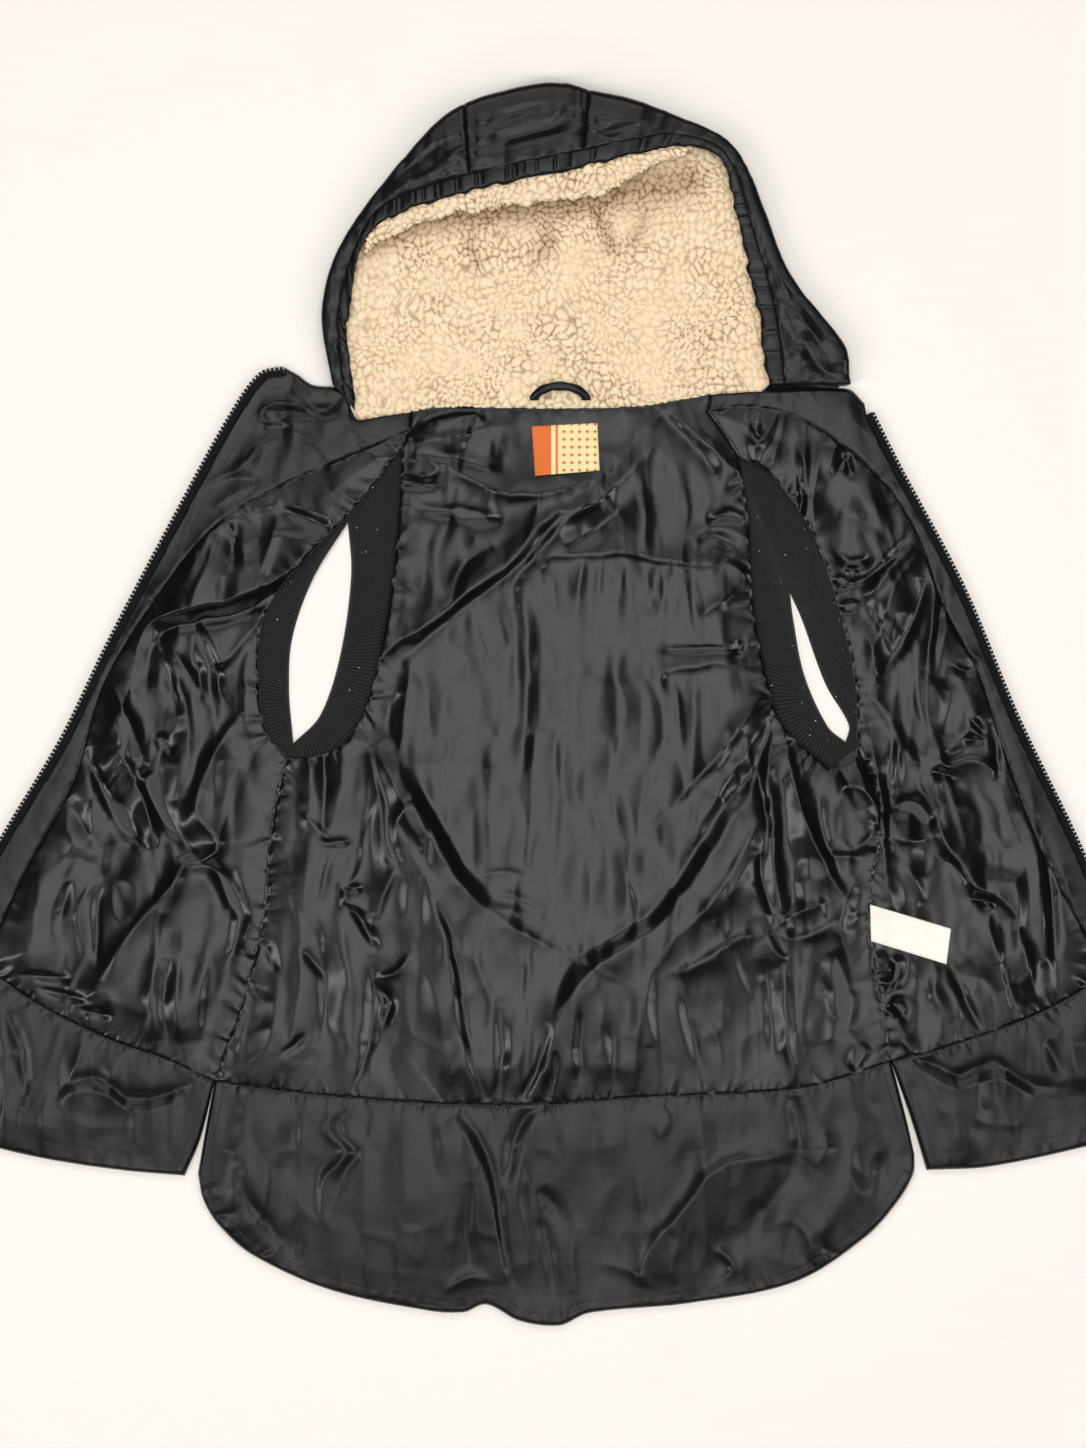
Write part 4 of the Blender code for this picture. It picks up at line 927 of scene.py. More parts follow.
    (4, 4, -2.1, ((-215, -216), (-200, -242))),
    (4, 4, -2.1, ((-250, -216), (-241, -238))),
    (3, 3, -1.7, ((-238, -314), (-214, -294))),
    (21, 8, 2.3, ((-220, 7), (-211, -47), (-214, -110))),
    (18, 7, 1.9, ((-188, 7), (-182, -47), (-184, -101))),
    (6, 6, -2.6, ((-203, -11), (-197, -65), (-200, -128))),
    (9, 23, 1.4, ((-112, -227), (-94, -272), (-88, -317))),
    # Tail
    (8, 39, 4.7, ((-85, -364), (-67, -389), (-54, -418), (-47, -452), (-41, -488), (-37, -524))),
    (4, 4, -3, ((-74, -366), (-57, -389), (-47, -418), (-40, -448), (-35, -484), (-29, -524))),
    (6, 6, -3, ((4, -355), (-18, -371), (-28, -398), (-34, -434))),
    (6, 16, 1.9, ((-8, -364), (-20, -398), (-23, -443), (-16, -488), (-13, -533))),
    (8, 8, -2.6, ((-67, -425), (-69, -470), (-64, -508))),
    (7, 7, -2.6, ((-4, -432), (7, -449), (16, -459))),
    (6, 6, -2.6, ((-2, -457), (4, -488), (8, -526))),
    (6, 16, 1.9, ((29, -463), (25, -499), (31, -530))),
    (39, 6, 4.7, ((235, -398), (196, -405), (172, -408), (154, -417), (139, -432), (126, -450), (112, -467),
     (99, -483), (89, -504), (83, -526))),
    (14, 14, -3.6, ((230, -398), (214, -430), (200, -454), (180, -477), (160, -499))),
    (8, 3, 2.8, ((153, -487), (164, -495), (169, -506), (158, -516))),
    (7, 18, 1.9, ((250, -378), (256, -396), (241, -414))),
    (6, 6, -2.6, ((224, -349), (229, -380), (231, -400))),
    (5, 13, 1.5, ((104, -357), (112, -371), (103, -389))),
    (10, 4, 2.3, ((-184, -358), (-194, -371), (-194, -384), (-179, -398), (-184, -409), (-197, -422),
     (-200, -443), (-196, -466))),
    (5, 5, -2.1, ((-175, -360), (-184, -376), (-179, -389), (-169, -400), (-179, -416), (-187, -443))),
    (8, 8, -2.6, ((-279, -412), (-263, -448), (-238, -479), (-220, -503))),
    (16, 42, 1.4, ((-247, -398), (-220, -443), (-193, -488))),
    (42, 16, 1.5, ((-130, -371), (-125, -434), (-130, -506))),
    (14, 36, 1.4, ((55, -371), (59, -425), (50, -479))),
    (4, 10, 1.5, ((50, -499), (77, -506), (100, -522))),
    (5, 13, 1.5, ((122, -479), (115, -499), (122, -520))),
    (4, 10, 2.3, ((-94, -526), (-67, -513), (-47, -515))),
    (12, 31, 1.5, ((284, -362), (275, -425), (248, -479))),
    (7, 18, 1.2, ((140, -362), (145, -398))),
    # The wearer's right front, from the neck down
    (5, 13, 2.8, ((-310, 200), (-274, 214), (-256, 232), (-238, 245))),
    (4, 10, 2.8, ((-254, 268), (-247, 272), (-220, 272), (-202, 266))),
    (4, 4, -2.6, ((-247, 267), (-215, 269), (-182, 265))),
    (4, 4, -2.6, ((-251, 254), (-232, 250))),
    (16, 6, 3, ((-274, 182), (-292, 164), (-310, 146), (-319, 124), (-346, 110), (-359, 97))),
    (5, 6, -3.6, ((-242, 182), (-215, 173), (-188, 160))),
    (7, 7, -3, ((-277, 169), (-280, 133))),
    (10, 4, 2.3, ((-287, 169), (-274, 146), (-268, 131))),
    (10, 4, 2.3, ((-265, 176), (-229, 180), (-193, 164))),
    (4, 10, 1.9, ((-260, 151), (-229, 153), (-197, 149))),
    (5, 39, 6.9, ((-125, 241), (-143, 209), (-164, 187), (-179, 169), (-197, 146), (-220, 128), (-238, 115),
     (-274, 99), (-310, 90), (-346, 81), (-359, 72), (-365, 56), (-371, 25))),
    (5, 5, -3.6, ((-134, 205), (-157, 176), (-188, 144), (-215, 117), (-269, 86), (-305, 78), (-341, 68),
     (-353, 52), (-359, 16))),
    (4, 10, 2.8, ((-400, 46), (-377, 51), (-367, 61))),
    (16, 6, 3.4, ((-314, 83), (-305, 61), (-294, 38), (-269, 61), (-251, 83))),
    (4, 4, -4.1, ((-312, 72), (-297, 39), (-290, 7))),
    (5, 13, 4.3, ((-355, 70), (-341, 43), (-323, 7), (-319, -47))),
    (4, 10, 3, ((-338, 56), (-311, 18), (-300, -4))),
    (7, 7, -4.1, ((-347, 59), (-337, 25), (-329, -8))),
    (5, 5, -3.6, ((-312, 41), (-308, 5))),
    (6, 16, 4.3, ((-391, 25), (-373, -11), (-355, -65))),
    (13, 5, 3, ((-401, 16), (-383, -20), (-376, -49))),
    (5, 5, -3, ((-350, -25), (-332, -40))),
    (13, 5, 3.4, ((-274, -7), (-295, -38), (-310, -74))),
    (13, 5, 1.9, ((-265, 61), (-270, 16), (-263, -34))),
    (6, 6, -5.2, ((-413, -34), (-400, -67), (-377, -103), (-355, -130))),
    (5, 13, 4.3, ((-386, -34), (-368, -65), (-355, -101), (-349, -130))),
    (9, 9, -3, ((-431, -83), (-414, -106), (-400, -130))),
    (8, 7, -5.2, ((-357, -56), (-344, -94), (-313, -134))),
    (16, 6, 4.3, ((-292, -34), (-310, -65), (-312, -97), (-296, -115), (-292, -124), (-305, -137),
     (-323, -142), (-332, -155), (-350, -178), (-373, -205), (-391, -232), (-404, -250))),
    (6, 6, -5.2, ((-328, -144), (-301, -143), (-286, -159), (-275, -184), (-276, -206), (-284, -225))),
    (3, 4, -3, ((-401, -164), (-402, -200), (-401, -232))),
    (4, 4, -2.6, ((-430, -155), (-434, -188))),
    (8, 21, 1.9, ((-454, -146), (-458, -191), (-464, -236))),
    (3, 3, -1.9, ((-472, -241), (-427, -245))),
    (3, 3, -1.9, ((-454, -254), (-409, -265))),
    (3, 3, -1.9, ((-418, -272), (-389, -278))),
    (16, 6, 2.3, ((-347, -225), (-355, -263), (-349, -301))),
    (13, 5, 2.3, ((-328, -223), (-331, -263), (-325, -305))),
    (5, 13, 2.3, ((-304, -229), (-310, -272), (-311, -301))),
    (4, 4, -2.1, ((-338, -232), (-342, -268), (-337, -299))),
    (5, 5, -3, ((-485, -272), (-472, -308), (-464, -351))),
    (6, 4, -2.6, ((-436, -344), (-409, -333), (-391, -340), (-377, -351), (-355, -353), (-319, -340))),
    (5, 13, 1.9, ((-436, -353), (-407, -344), (-389, -351), (-374, -360), (-353, -362), (-320, -351))),
    (8, 3, 1.7, ((-300, -345), (-319, -326))),
    (8, 3, 1.7, ((-300, -345), (-281, -330))),
    (8, 3, 1.7, ((-300, -345), (-297, -375))),
    (8, 21, 1.2, ((-454, -362), (-409, -376), (-364, -378))),
    # The wearer's left front, from the neck down
    (5, 13, 2.8, ((277, 272), (295, 250), (316, 227), (333, 194))),
    (10, 4, 1.7, ((293, 277), (305, 254), (321, 232))),
    (3, 8, 1.4, ((203, 280), (217, 285), (230, 282))),
    (13, 5, 2.8, ((184, 252), (191, 234), (202, 248), (211, 267))),
    (5, 5, -3, ((187, 254), (196, 241))),
    (5, 13, 1.9, ((203, 214), (211, 241), (218, 264))),
    (3, 3, -3.6, ((230, 217), (232, 191), (230, 167))),
    (4, 10, 2.8, ((236, 241), (234, 214), (237, 169))),
    (4, 10, 2.3, ((241, 162), (244, 205), (251, 241))),
    (10, 4, 2.3, ((256, 208), (262, 230), (267, 239))),
    (4, 4, -3, ((263, 214), (272, 225), (277, 208))),
    (12, 31, 1.5, ((271, 199), (302, 207), (343, 182))),
    (9, 9, -2.1, ((265, 178), (293, 167), (311, 145))),
    (23, 9, 1.4, ((318, 180), (322, 155), (308, 136))),
    (5, 3, -3, ((328, 153), (308, 131), (292, 117), (268, 109))),
    (5, 13, 2.8, ((334, 146), (314, 128), (299, 106), (286, 97))),
    (4, 4, -3, ((265, 140), (275, 131), (292, 133))),
    (4, 4, -3, ((261, 115), (275, 112))),
    (4, 4, -3.6, ((268, 91), (283, 93))),
    (4, 10, 2.3, ((271, 124), (284, 122))),
    (18, 7, 3.4, ((340, 142), (320, 115), (307, 83), (298, 52), (293, 25))),
    (6, 9, -5.2, ((343, 117), (331, 79), (317, 52), (302, 30))),
    (16, 6, 4.3, ((347, 133), (352, 97), (346, 52), (343, 7), (348, -29), (343, -45))),
    (4, 4, -3, ((362, 133), (360, 104), (353, 61), (349, 23))),
    (10, 4, 2.3, ((355, 146), (364, 124), (362, 97))),
    (10, 10, -2.6, ((367, 16), (359, -26))),
    (16, 6, 2.8, ((347, -44), (373, -31), (388, -8), (398, 7))),
    (4, 10, 3.4, ((360, 84), (370, 64), (388, 48), (398, 46), (407, 23), (405, 5))),
    (4, 4, -3, ((370, 38), (382, 33), (389, 43))),
    (3, 3, -2.6, ((385, -9), (398, -24))),
    (3, 3, -2.6, ((378, -27), (398, -31))),
    (4, 4, -2.6, ((403, -9), (407, -38), (411, -67))),
    (5, 13, 3.4, ((349, -45), (365, -53), (385, -47), (410, -56))),
    (4, 4, -3, ((347, -58), (371, -63))),
    (5, 13, 3, ((277, -47), (292, -74), (302, -112))),
    (4, 4, -3.6, ((288, -47), (299, -83))),
    (13, 5, 2.8, ((266, -56), (275, -74), (283, -94))),
    (5, 13, 3.9, ((293, -29), (304, -83), (305, -128), (311, -178))),
    (4, 4, -3.6, ((314, -25), (311, -74), (309, -119))),
    (5, 13, 2.8, ((320, -25), (318, -74))),
    (5, 13, 2.3, ((286, 79), (295, 52), (301, 16))),
    (13, 5, 2.3, ((286, 16), (302, 2), (317, -29))),
    (8, 8, -5.2, ((311, -95), (330, -90), (353, -105))),
    (13, 5, 2.3, ((310, -116), (333, -120), (355, -114))),
    (24, 6, 5, ((319, -27), (338, -65), (353, -101), (365, -128), (377, -147), (389, -162), (411, -173),
     (425, -187), (428, -202))),
    (5, 4, -2.6, ((325, -40), (343, -74), (361, -117))),
    (4, 4, -4.1, ((385, -171), (404, -177))),
    (4, 10, 2.8, ((405, -177), (401, -196), (409, -227), (416, -256))),
    (5, 13, 2.8, ((425, -188), (434, -227), (443, -267))),
    (5, 13, 2.3, ((320, -139), (334, -153), (344, -177))),
    (4, 4, -2.6, ((360, -135), (371, -144), (380, -159))),
    (4, 4, -2.6, ((365, -227), (379, -263), (393, -292))),
    (13, 5, 1.9, ((347, -241), (356, -263), (367, -285))),
    (4, 4, -2.6, ((410, -227), (419, -250), (425, -272))),
    (5, 13, 1.9, ((437, -209), (438, -254))),
    (5, 13, 1.9, ((317, -263), (320, -286), (328, -308))),
    (5, 5, -5.2, ((321, -223), (317, -242), (307, -256))),
    (5, 5, -5.2, ((314, -263), (323, -279))),
    (4, 10, 2.8, ((310, -229), (317, -249), (308, -269))),
    (6, 16, 3.4, ((427, -38), (441, -89), (446, -155), (452, -209), (456, -251))),
    (5, 5, -3.6, ((446, -101), (453, -146), (458, -200), (461, -238))),
    (13, 5, 2.8, ((464, -137), (475, -173), (482, -200))),
    (8, 21, 1.1, ((410, 133), (419, 7), (437, -47))),
    (14, 14, -2.6, ((383, -83), (397, -128), (428, -155))),
    (6, 4, -3, ((325, -315), (343, -319), (361, -327), (374, -331), (388, -326), (410, -324), (437, -339),
     (466, -344))),
    (5, 18, 2.3, ((325, -324), (347, -332), (370, -342), (392, -337), (415, -335), (442, -350))),
    (16, 6, 2.3, ((473, -290), (477, -319), (486, -346))),
    (5, 5, -2.6, ((454, -299), (464, -328))),
    (23, 9, 1.5, ((374, -362), (410, -376), (446, -371))),
    (3, 8, 1.8, ((331, -317), (322, -299))),
    (3, 8, 1.8, ((331, -317), (352, -310))),
    (8, 3, 1.8, ((331, -319), (325, -340))),
))

# A fold falls away as a power of the distance: 2 is round, 1 a sharp edge
CREST_POWER = 1.2
TROUGH_POWER = 1.6
# How far a fold is felt, in widths of its wider side
FOLD_REACH = 3.0
# How little of a fold is left at its ends, as a share of its length, and how it swells between them
FOLD_END = 0.02
FOLD_SWELL = 0.6

# The folds of the hood's outer cloth, seen from above where its crown is folded over
HOOD_CREASES = tuple(Crease(points, left, right, height) for left, right, height, points in (
    # Crown, from its right to its left
    (6, 22, 1.8, ((-173, 443), (-143, 470), (-107, 502), (-80, 531))),
    (5, 5, -1.4, ((-155, 452), (-121, 482), (-94, 502), (-68, 509))),
    (4, 14, 1.8, ((-134, 461), (-103, 477), (-74, 488))),
    (4, 14, 1.6, ((-94, 486), (-80, 495), (-67, 502))),
    (5, 18, 1.2, ((-107, 502), (-85, 511), (-67, 527))),
    (11, 3, 1.1, ((-63, 529), (-74, 532))),
    (11, 3, 1.1, ((-63, 513), (-75, 510))),
    (11, 3, 1.1, ((-61, 522), (-47, 525))),
    (11, 3, 1.2, ((-61, 504), (-44, 511))),
    (9, 6, -2.2, ((-58, 497), (-26, 508), (5, 517), (25, 531), (34, 547))),
    (6, 6, -1.4, ((-50, 522), (-26, 531), (1, 540))),
    (5, 18, 2, ((-40, 502), (-4, 509), (37, 516))),
    (6, 22, 1.4, ((-35, 538), (-13, 543), (14, 549))),
    (4, 14, 1.8, ((4, 522), (16, 536), (23, 549))),
    (22, 6, 1.2, ((41, 545), (61, 540), (86, 531))),
    (18, 5, 1.6, ((43, 524), (68, 523), (100, 527))),
    (4, 4, -1.4, ((41, 513), (61, 514), (86, 520))),
    (3, 11, 1.1, ((36, 531), (25, 528))),
    (3, 11, 1.1, ((38, 518), (50, 513))),
    (18, 5, 1.4, ((95, 529), (115, 527), (140, 520))),
    (6, 22, 1.8, ((178, 488), (190, 443), (203, 401))),
    (5, 5, -1.4, ((187, 484), (200, 439), (211, 401))),
    (29, 8, 2.2, ((202, 401), (221, 367), (241, 333), (262, 302))),
    (6, 6, -1.6, ((214, 389), (241, 356), (262, 334))),
    (4, 14, 1.6, ((208, 367), (230, 347), (250, 325))),
    (7, 25, 1.4, ((194, 367), (208, 331), (221, 290))),
    (6, 6, -1.4, ((230, 331), (244, 308), (265, 292))),
    (3, 11, 1.2, ((221, 320), (236, 313))),
    (18, 5, 1.4, ((253, 333), (268, 313), (272, 295))),
    (18, 5, 1.1, ((-191, 403), (-193, 358), (-185, 313))),
))


def fold_height(creases: Iterable[tuple[Crease, np.ndarray]], places: np.ndarray,
                wander: np.ndarray) -> np.ndarray:
    """The height of some folds.

    Args:
        creases: The folds, each with its line.
        places: The places.
        wander: How far each place is taken to lie to the right of where it is, to make edges uneven.

    Returns:
        The height at each place.
    """
    height = np.zeros(len(places))
    for crease, line in creases:
        rows, apart, along = project(line, places, FOLD_REACH * max(crease.left, crease.right))
        apart = apart + wander[rows]
        width = np.where(apart < 0, crease.left, crease.right)
        share = np.clip(along / lengths_along(line)[-1], FOLD_END, 1 - FOLD_END)
        crispness = CREST_POWER if crease.height > 0 else TROUGH_POWER
        swell = np.sin(math.pi * share) ** FOLD_SWELL
        height[rows] += crease.height * swell * np.exp(-abs(apart / width) ** crispness)
    return height


@dataclass(frozen=True)
class Gather:
    """Small puckers along a seam: their spacing, height and length, and which sides have them."""

    seam: str
    pitch: float
    height: float
    reach: float
    sides: tuple[int, ...] = (-1, 1)


GATHERS = (
    Gather("hem seam back", 6.0, 0.6, 7),
    Gather("hem seam right", 6.0, 0.6, 7),
    Gather("hem seam left", 6.0, 0.6, 7),
    Gather("side right", 9.0, 0.7, 10),
    Gather("side left", 9.0, 0.7, 10),
    Gather("arm back right", 12.0, 1.1, 15, (1,)),
    Gather("arm back left", 12.0, 1.1, 15, (1,)),
    Gather("arm front right", 12.0, 1.0, 13, (-1,)),
    Gather("arm front left", 12.0, 1.0, 13, (1,)),
    Gather("facing right", 12.0, 0.45, 8),
    Gather("facing left", 12.0, 0.45, 8),
    Gather("neck", 11.0, 0.6, 9),
    Gather("tail", 12.0, 0.9, 12),
    Gather("hem right", 12.0, 0.8, 12),
    Gather("hem left", 12.0, 0.8, 12),
    Gather("neck edge right", 12.0, 0.6, 12),
    Gather("neck edge left", 12.0, 0.6, 12),
)

PANEL_SEAMS = ("hem seam back", "hem seam right", "hem seam left", "side right", "side left", "facing right",
               "facing left", "neck", "arm back right", "arm back left", "arm front right", "arm front left",
               "shoulder low right", "shoulder low left", "shoulder high right", "shoulder high left",
               "arm foot left", "facing foot right", "facing foot left")
# How far in from each free edge its topstitching runs; 0 where there is none
HEMS = {"hem right": 16.0, "hem left": 16.0, "tail": 11.0, "vent right": 11.0, "vent left": 11.0,
        "vent back right": 9.0, "vent back left": 9.0, "hem zip right": 16.0, "hem zip left": 16.0,
        "neck edge right": 0.0, "neck edge left": 0.0}


class LiningRelief:
    """The height of the lining side over the whole garment, so that neighbouring panels agree."""

    # How far from seams and hems the cloth still knows of them
    SEAM_REACH = 40.0
    PUCKER_SEED = 7
    # Each pucker's own share of its gather's pitch, reach, pitch again for its width, and height
    PUCKER_PITCHES = (0.5, 1.5)
    PUCKER_REACHES = (0.35, 1.9)
    PUCKER_WIDTHS = (0.18, 0.36)
    PUCKER_RISES = (0.3, 1.3)
    PUCKER_SLANT = 0.5
    # How far a pucker takes to rise from the seam, and the power it fades with
    PUCKER_START = 2.0
    PUCKER_FADE = 1.5
    # How far puckers are felt: inwards in reaches, along the seam in pitches
    PUCKER_FELT = (4, 5)
    HEM_EDGE = 2.2
    TAPE_LEVEL = 6.9
    HEM_TOP = 9.1
    HEM_RADIUS = 6.0
    STITCH_WIDTH = 1.7
    STITCH_DEPTH = 1.0
    WANDER = 1.3
    MOST_SUNK = 0.85
    HANG_FROM = (0.0, 1100.0)
    HANG_STRETCH = 4.6
    HANG_WARP = 8.0
    STREAK_WIDTH = 0.16
    # The wavelength and seed of each noise
    NOISES = {"broad": (38.0, 3), "soft": (13.0, 14), "streaks": (27.0, 8), "hairs": (14.0, 11),
              "patches": (60.0, 9), "warp": (45.0, 5), "wander": (17.0, 4)}
    CRUMPLES = ((30.0, 17), (19.0, 18))
    # The drape's heights: broad hanging waves, soft ones between them, crisp streaks, fine hairs and
    # two crumples that break the cloth into flat facets
    DRAPE = (2.2, 0.5, 0.8, 0.6, 1.3, -0.9)
    CRUMPLE_STRETCH = (1.0, 0.55)
    # The fronts hang looser than the back, from this far off the middle and over this band
    LOOSENESS = 0.55
    LOOSE_FROM = 200.0
    LOOSE_BAND = 60.0
    # Streaks are this strong between their patches
    STREAK_BASE = 0.3
    # The drape is quiet beside seams, and folds are held down beside hems to the last share
    QUIET_BAND = 34.0
    HOLD_FROM = 4.0
    HOLD_BAND = 26.0
    HELD_SHARE = 0.15
    HEM_FADE = 6.0

    def __init__(self) -> None:
        """Measure the seams and folds once."""
        self.seams = [seam(name, LINE_STEP) for name in PANEL_SEAMS]
        self.hems = [(seam(name, LINE_STEP), stitch, self.HEM_EDGE) for name, stitch in HEMS.items()]
        self.hems += [(zip_line(side, TAPE_EDGE), 0.0, self.TAPE_LEVEL) for side in Side]
        self.creases = [(crease, smooth_line(crease.points, LINE_STEP)) for crease in CREASES]
        self.noises = {name: Noise(cell, seed) for name, (cell, seed) in self.NOISES.items()}
        self.crumples = [Noise(cell, seed) for cell, seed in self.CRUMPLES]

    def hanging(self, places: np.ndarray) -> np.ndarray:
        """Places measured across and along the way that the cloth hangs, fanning out from the neck.

        Args:
            places: The places.

        Returns:
            How far across and how far down each place lies.
        """
        apart = places - self.HANG_FROM
        across = np.arctan2(apart[:, 0], -apart[:, 1]) * self.HANG_FROM[1]
        down = np.linalg.norm(apart, axis=1) / self.HANG_STRETCH
        return np.column_stack([across + self.HANG_WARP * self.noises["warp"].at(places), down])

    def seam_distance(self, places: np.ndarray, reach: float) -> np.ndarray:
        """The distance from the nearest inner seam.

        Args:
            places: The places.
            reach: The most that is measured.

        Returns:
            The distance of each place, at most reach.
        """
        nearest = np.full(len(places), reach)
        for line in self.seams:
            rows, apart, _ = project(line, places, reach)
            nearest[rows] = np.minimum(nearest[rows], abs(apart))
        return nearest

    def hem(self, places: np.ndarray, reach: float) -> tuple[np.ndarray, np.ndarray]:
        """The nearest hem.

        Args:
            places: The places.
            reach: The most that is measured.

        Returns:
            The distance of each place, at most reach, and that hem's rolled and stitched height.
        """
        nearest = np.full(len(places), reach)
        height = np.full(len(places), self.HEM_TOP)
        for line, stitch, edge in self.hems:
            rows, apart, _ = project(line, places, reach)
            apart = abs(apart)
            closer = apart < nearest[rows]
            rows, apart = rows[closer], apart[closer]
            nearest[rows] = apart
            roll = np.sqrt(1 - (1 - np.clip(apart / self.HEM_RADIUS, 0, 1)) ** 2)
            height[rows] = edge + (self.HEM_TOP - edge) * roll
            if stitch:
                height[rows] -= self.STITCH_DEPTH * np.exp(-((apart - stitch) / self.STITCH_WIDTH) ** 2)
        return nearest, height

    def folds(self, places: np.ndarray) -> np.ndarray:
        """The height of the listed folds."""
        return fold_height(self.creases, places, self.WANDER * self.noises["wander"].at(places))

    def puckers(self, places: np.ndarray) -> np.ndarray:
        """The height of the small gathers that fan out from the seams.

        Args:
            places: The places.

        Returns:
            The height at each place.
        """
        height = np.zeros(len(places))
        random = np.random.default_rng(self.PUCKER_SEED)
        for gather in GATHERS:
            line = seam(gather.seam, LINE_STEP)
            rows, apart, along = project(line, places, self.PUCKER_FELT[0] * gather.reach)
            length = lengths_along(line)[-1]
            for side in gather.sides:
                spot = 0.0
                while spot < length:
                    spot += gather.pitch * random.uniform(*self.PUCKER_PITCHES)
                    reach = gather.reach * random.uniform(*self.PUCKER_REACHES)
                    width = gather.pitch * random.uniform(*self.PUCKER_WIDTHS)
                    rise = gather.height * random.uniform(*self.PUCKER_RISES) * random.choice((1, -1))
                    slant = random.uniform(-self.PUCKER_SLANT, self.PUCKER_SLANT)
                    inwards = apart * side
                    near = (inwards > 0) & (abs(along - spot) < self.PUCKER_FELT[1] * gather.pitch)
                    across = along[near] - spot - slant * inwards[near]
                    spread = width * (1 + inwards[near] / reach)
                    start = np.clip(inwards[near] / self.PUCKER_START, 0, 1)
                    height[rows[near]] += (rise * start * np.exp(-(across / spread) ** 2)
                                           * np.exp(-(inwards[near] / reach) ** self.PUCKER_FADE))
        return height

    def height(self, places: np.ndarray) -> np.ndarray:
        """The height of the cloth's upper face.

        Args:
            places: The places.

        Returns:
            The height at each place.
        """
        seam_distance = self.seam_distance(places, self.SEAM_REACH)
        hem_distance, hem_height = self.hem(places, self.SEAM_REACH)
        rise = sum(high * (1 - np.exp(-seam_distance / reach)) for high, reach in SEAM_RISES)
        fan = self.hanging(places)
        patches = self.noises["patches"].at(places)
        broad, soft, streaks, hairs = (self.noises[name].at(fan)
                                       for name in ("broad", "soft", "streaks", "hairs"))
        streak = np.exp(-(streaks / self.STREAK_WIDTH) ** 2) * np.clip(self.STREAK_BASE + patches, 0, 1)
        hair = np.exp(-(hairs / self.STREAK_WIDTH) ** 2) * np.clip(-patches, 0, 1)
        quiet = np.clip(seam_distance / self.QUIET_BAND, 0, 1)
        crumples = [abs(crumple.at(places * self.CRUMPLE_STRETCH)) for crumple in self.crumples]
        waves = (broad, soft, streak, hair, *crumples)
        loose = 1 + self.LOOSENESS * np.clip((abs(places[:, 0]) - self.LOOSE_FROM) / self.LOOSE_BAND, 0, 1)
        drape = sum(high * wave for high, wave in zip(self.DRAPE, waves)) * quiet * loose
        hold = np.clip((hem_distance - self.HOLD_FROM) / self.HOLD_BAND, 0, 1)
        held = self.HELD_SHARE + (1 - self.HELD_SHARE) * hold
        lifted = (self.folds(places) + drape) * held + self.puckers(places)
        level = np.minimum(SEAM_FLOOR + rise, hem_height)
        lifted = np.maximum(lifted * np.clip(hem_distance / self.HEM_FADE, 0, 1),
                            -self.MOST_SUNK * np.maximum(level - SHELL_TOP, 0))
        return level + lifted


# ------------------------------------------------------------------ sub-assemblies

def declare_sheet(outline: np.ndarray,
                  fullness: float = 1.04) -> None:
    """Work out the flat cut of a cloth piece; the result is not kept.

    Args:
        outline: Its outline as it lies.
        fullness: How much longer the cut is than the laid piece, taken up in folds and gathers.
    """
    middle = outline - outline.mean(0)
    _, axes = np.linalg.eigh(middle.T @ middle)
    width, length = np.sort(np.ptp(middle @ axes, axis=0)) * fullness * MM
    area = outline_area(outline) * (fullness * MM) ** 2
    share = area / (width * length)
    if share < LEAST_AREA_SHARE:
        width *= share / LEAST_AREA_SHARE


def declare_padded(node: str) -> None:
    """Hide the CAD solid of a padded piece.

    Args:
        node: The CAD solid that it stands for.
    """
    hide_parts(node)


@dataclass
class ClothPanel:
    """A thin sheet of cloth over an outline of seams, on the relief of the lining side."""

    name: str
    runs: tuple
    finish: Finish
    slot: str
    rests_on: str

    def build(self) -> bpy.types.Object:
        """Make the panel in the place of its CAD solid.

        Returns:
            The new object.
        """
        runs = [seam(run) if isinstance(run, str) else run for run in self.runs]
        outline = closed_outline(runs)
        places, faces = triangulate(outline, inner_grid(outline, CLOTH_STEP, EDGE_STEP))
        piece = add_piece(f"{self.name}_cloth", np.column_stack([places, RELIEF.height(places)]), faces,
                          self.finish)
        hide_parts(self.name)
        declare_sheet(outline)
        return piece


@dataclass
class PaddedShell:
    """A padded outer panel under the lining: flat on the surface, with a rounded edge."""

    name: str
    runs: tuple
    # How far in from the outline its rounded edge lies, and how high, from its foot to its top
    edge_profile: tuple[tuple[float, float], ...] = ((3.0, 0.0), (0.9, 0.25), (0.1, 1.2), (0.1, 2.2),
                                                     (1.2, 3.2), (3.4, 4.2))
    step: float = 6.0

    def build(self) -> bpy.types.Object:
        """Make the panel in the place of its CAD solid.

        Returns:
            The new object.
        """
        runs = [seam(run, self.step) if isinstance(run, str) else resample(run, self.step)
                for run in self.runs]
        outline = closed_outline(runs)
        rings = [np.column_stack([inset(outline, inwards), np.full(len(outline), height)])
                 for inwards, height in self.edge_profile]
        faces = grid_faces(len(rings), len(outline), closed=True)
        _, caps = triangulate(outline, np.zeros((0, 2)))
        last = (len(rings) - 1) * len(outline)
        faces += [tuple(index + last for index in cap) for cap in caps]
        faces += [tuple(reversed(cap)) for cap in caps]
        piece = add_piece(f"{self.name}_padded", np.vstack(rings), faces, TAFFETA_SHELL)
        declare_padded(self.name)
        return piece


def inset(outline: np.ndarray, distance: float) -> np.ndarray:
    """An outline moved inwards.

    Args:
        outline: The anticlockwise outline.
        distance: How far it moves.

    Returns:
        The moved outline.
    """
    before = outline - np.roll(outline, 1, axis=0)
    after = np.roll(outline, -1, axis=0) - outline
    before /= np.linalg.norm(before, axis=1)[:, None]
    after /= np.linalg.norm(after, axis=1)[:, None]
    normals = [np.column_stack([-run[:, 1], run[:, 0]]) for run in (before, after)]
    middle = sum(normals)
    middle /= np.maximum(1.0, (middle * normals[0]).sum(1))[:, None]
    return outline + middle * distance


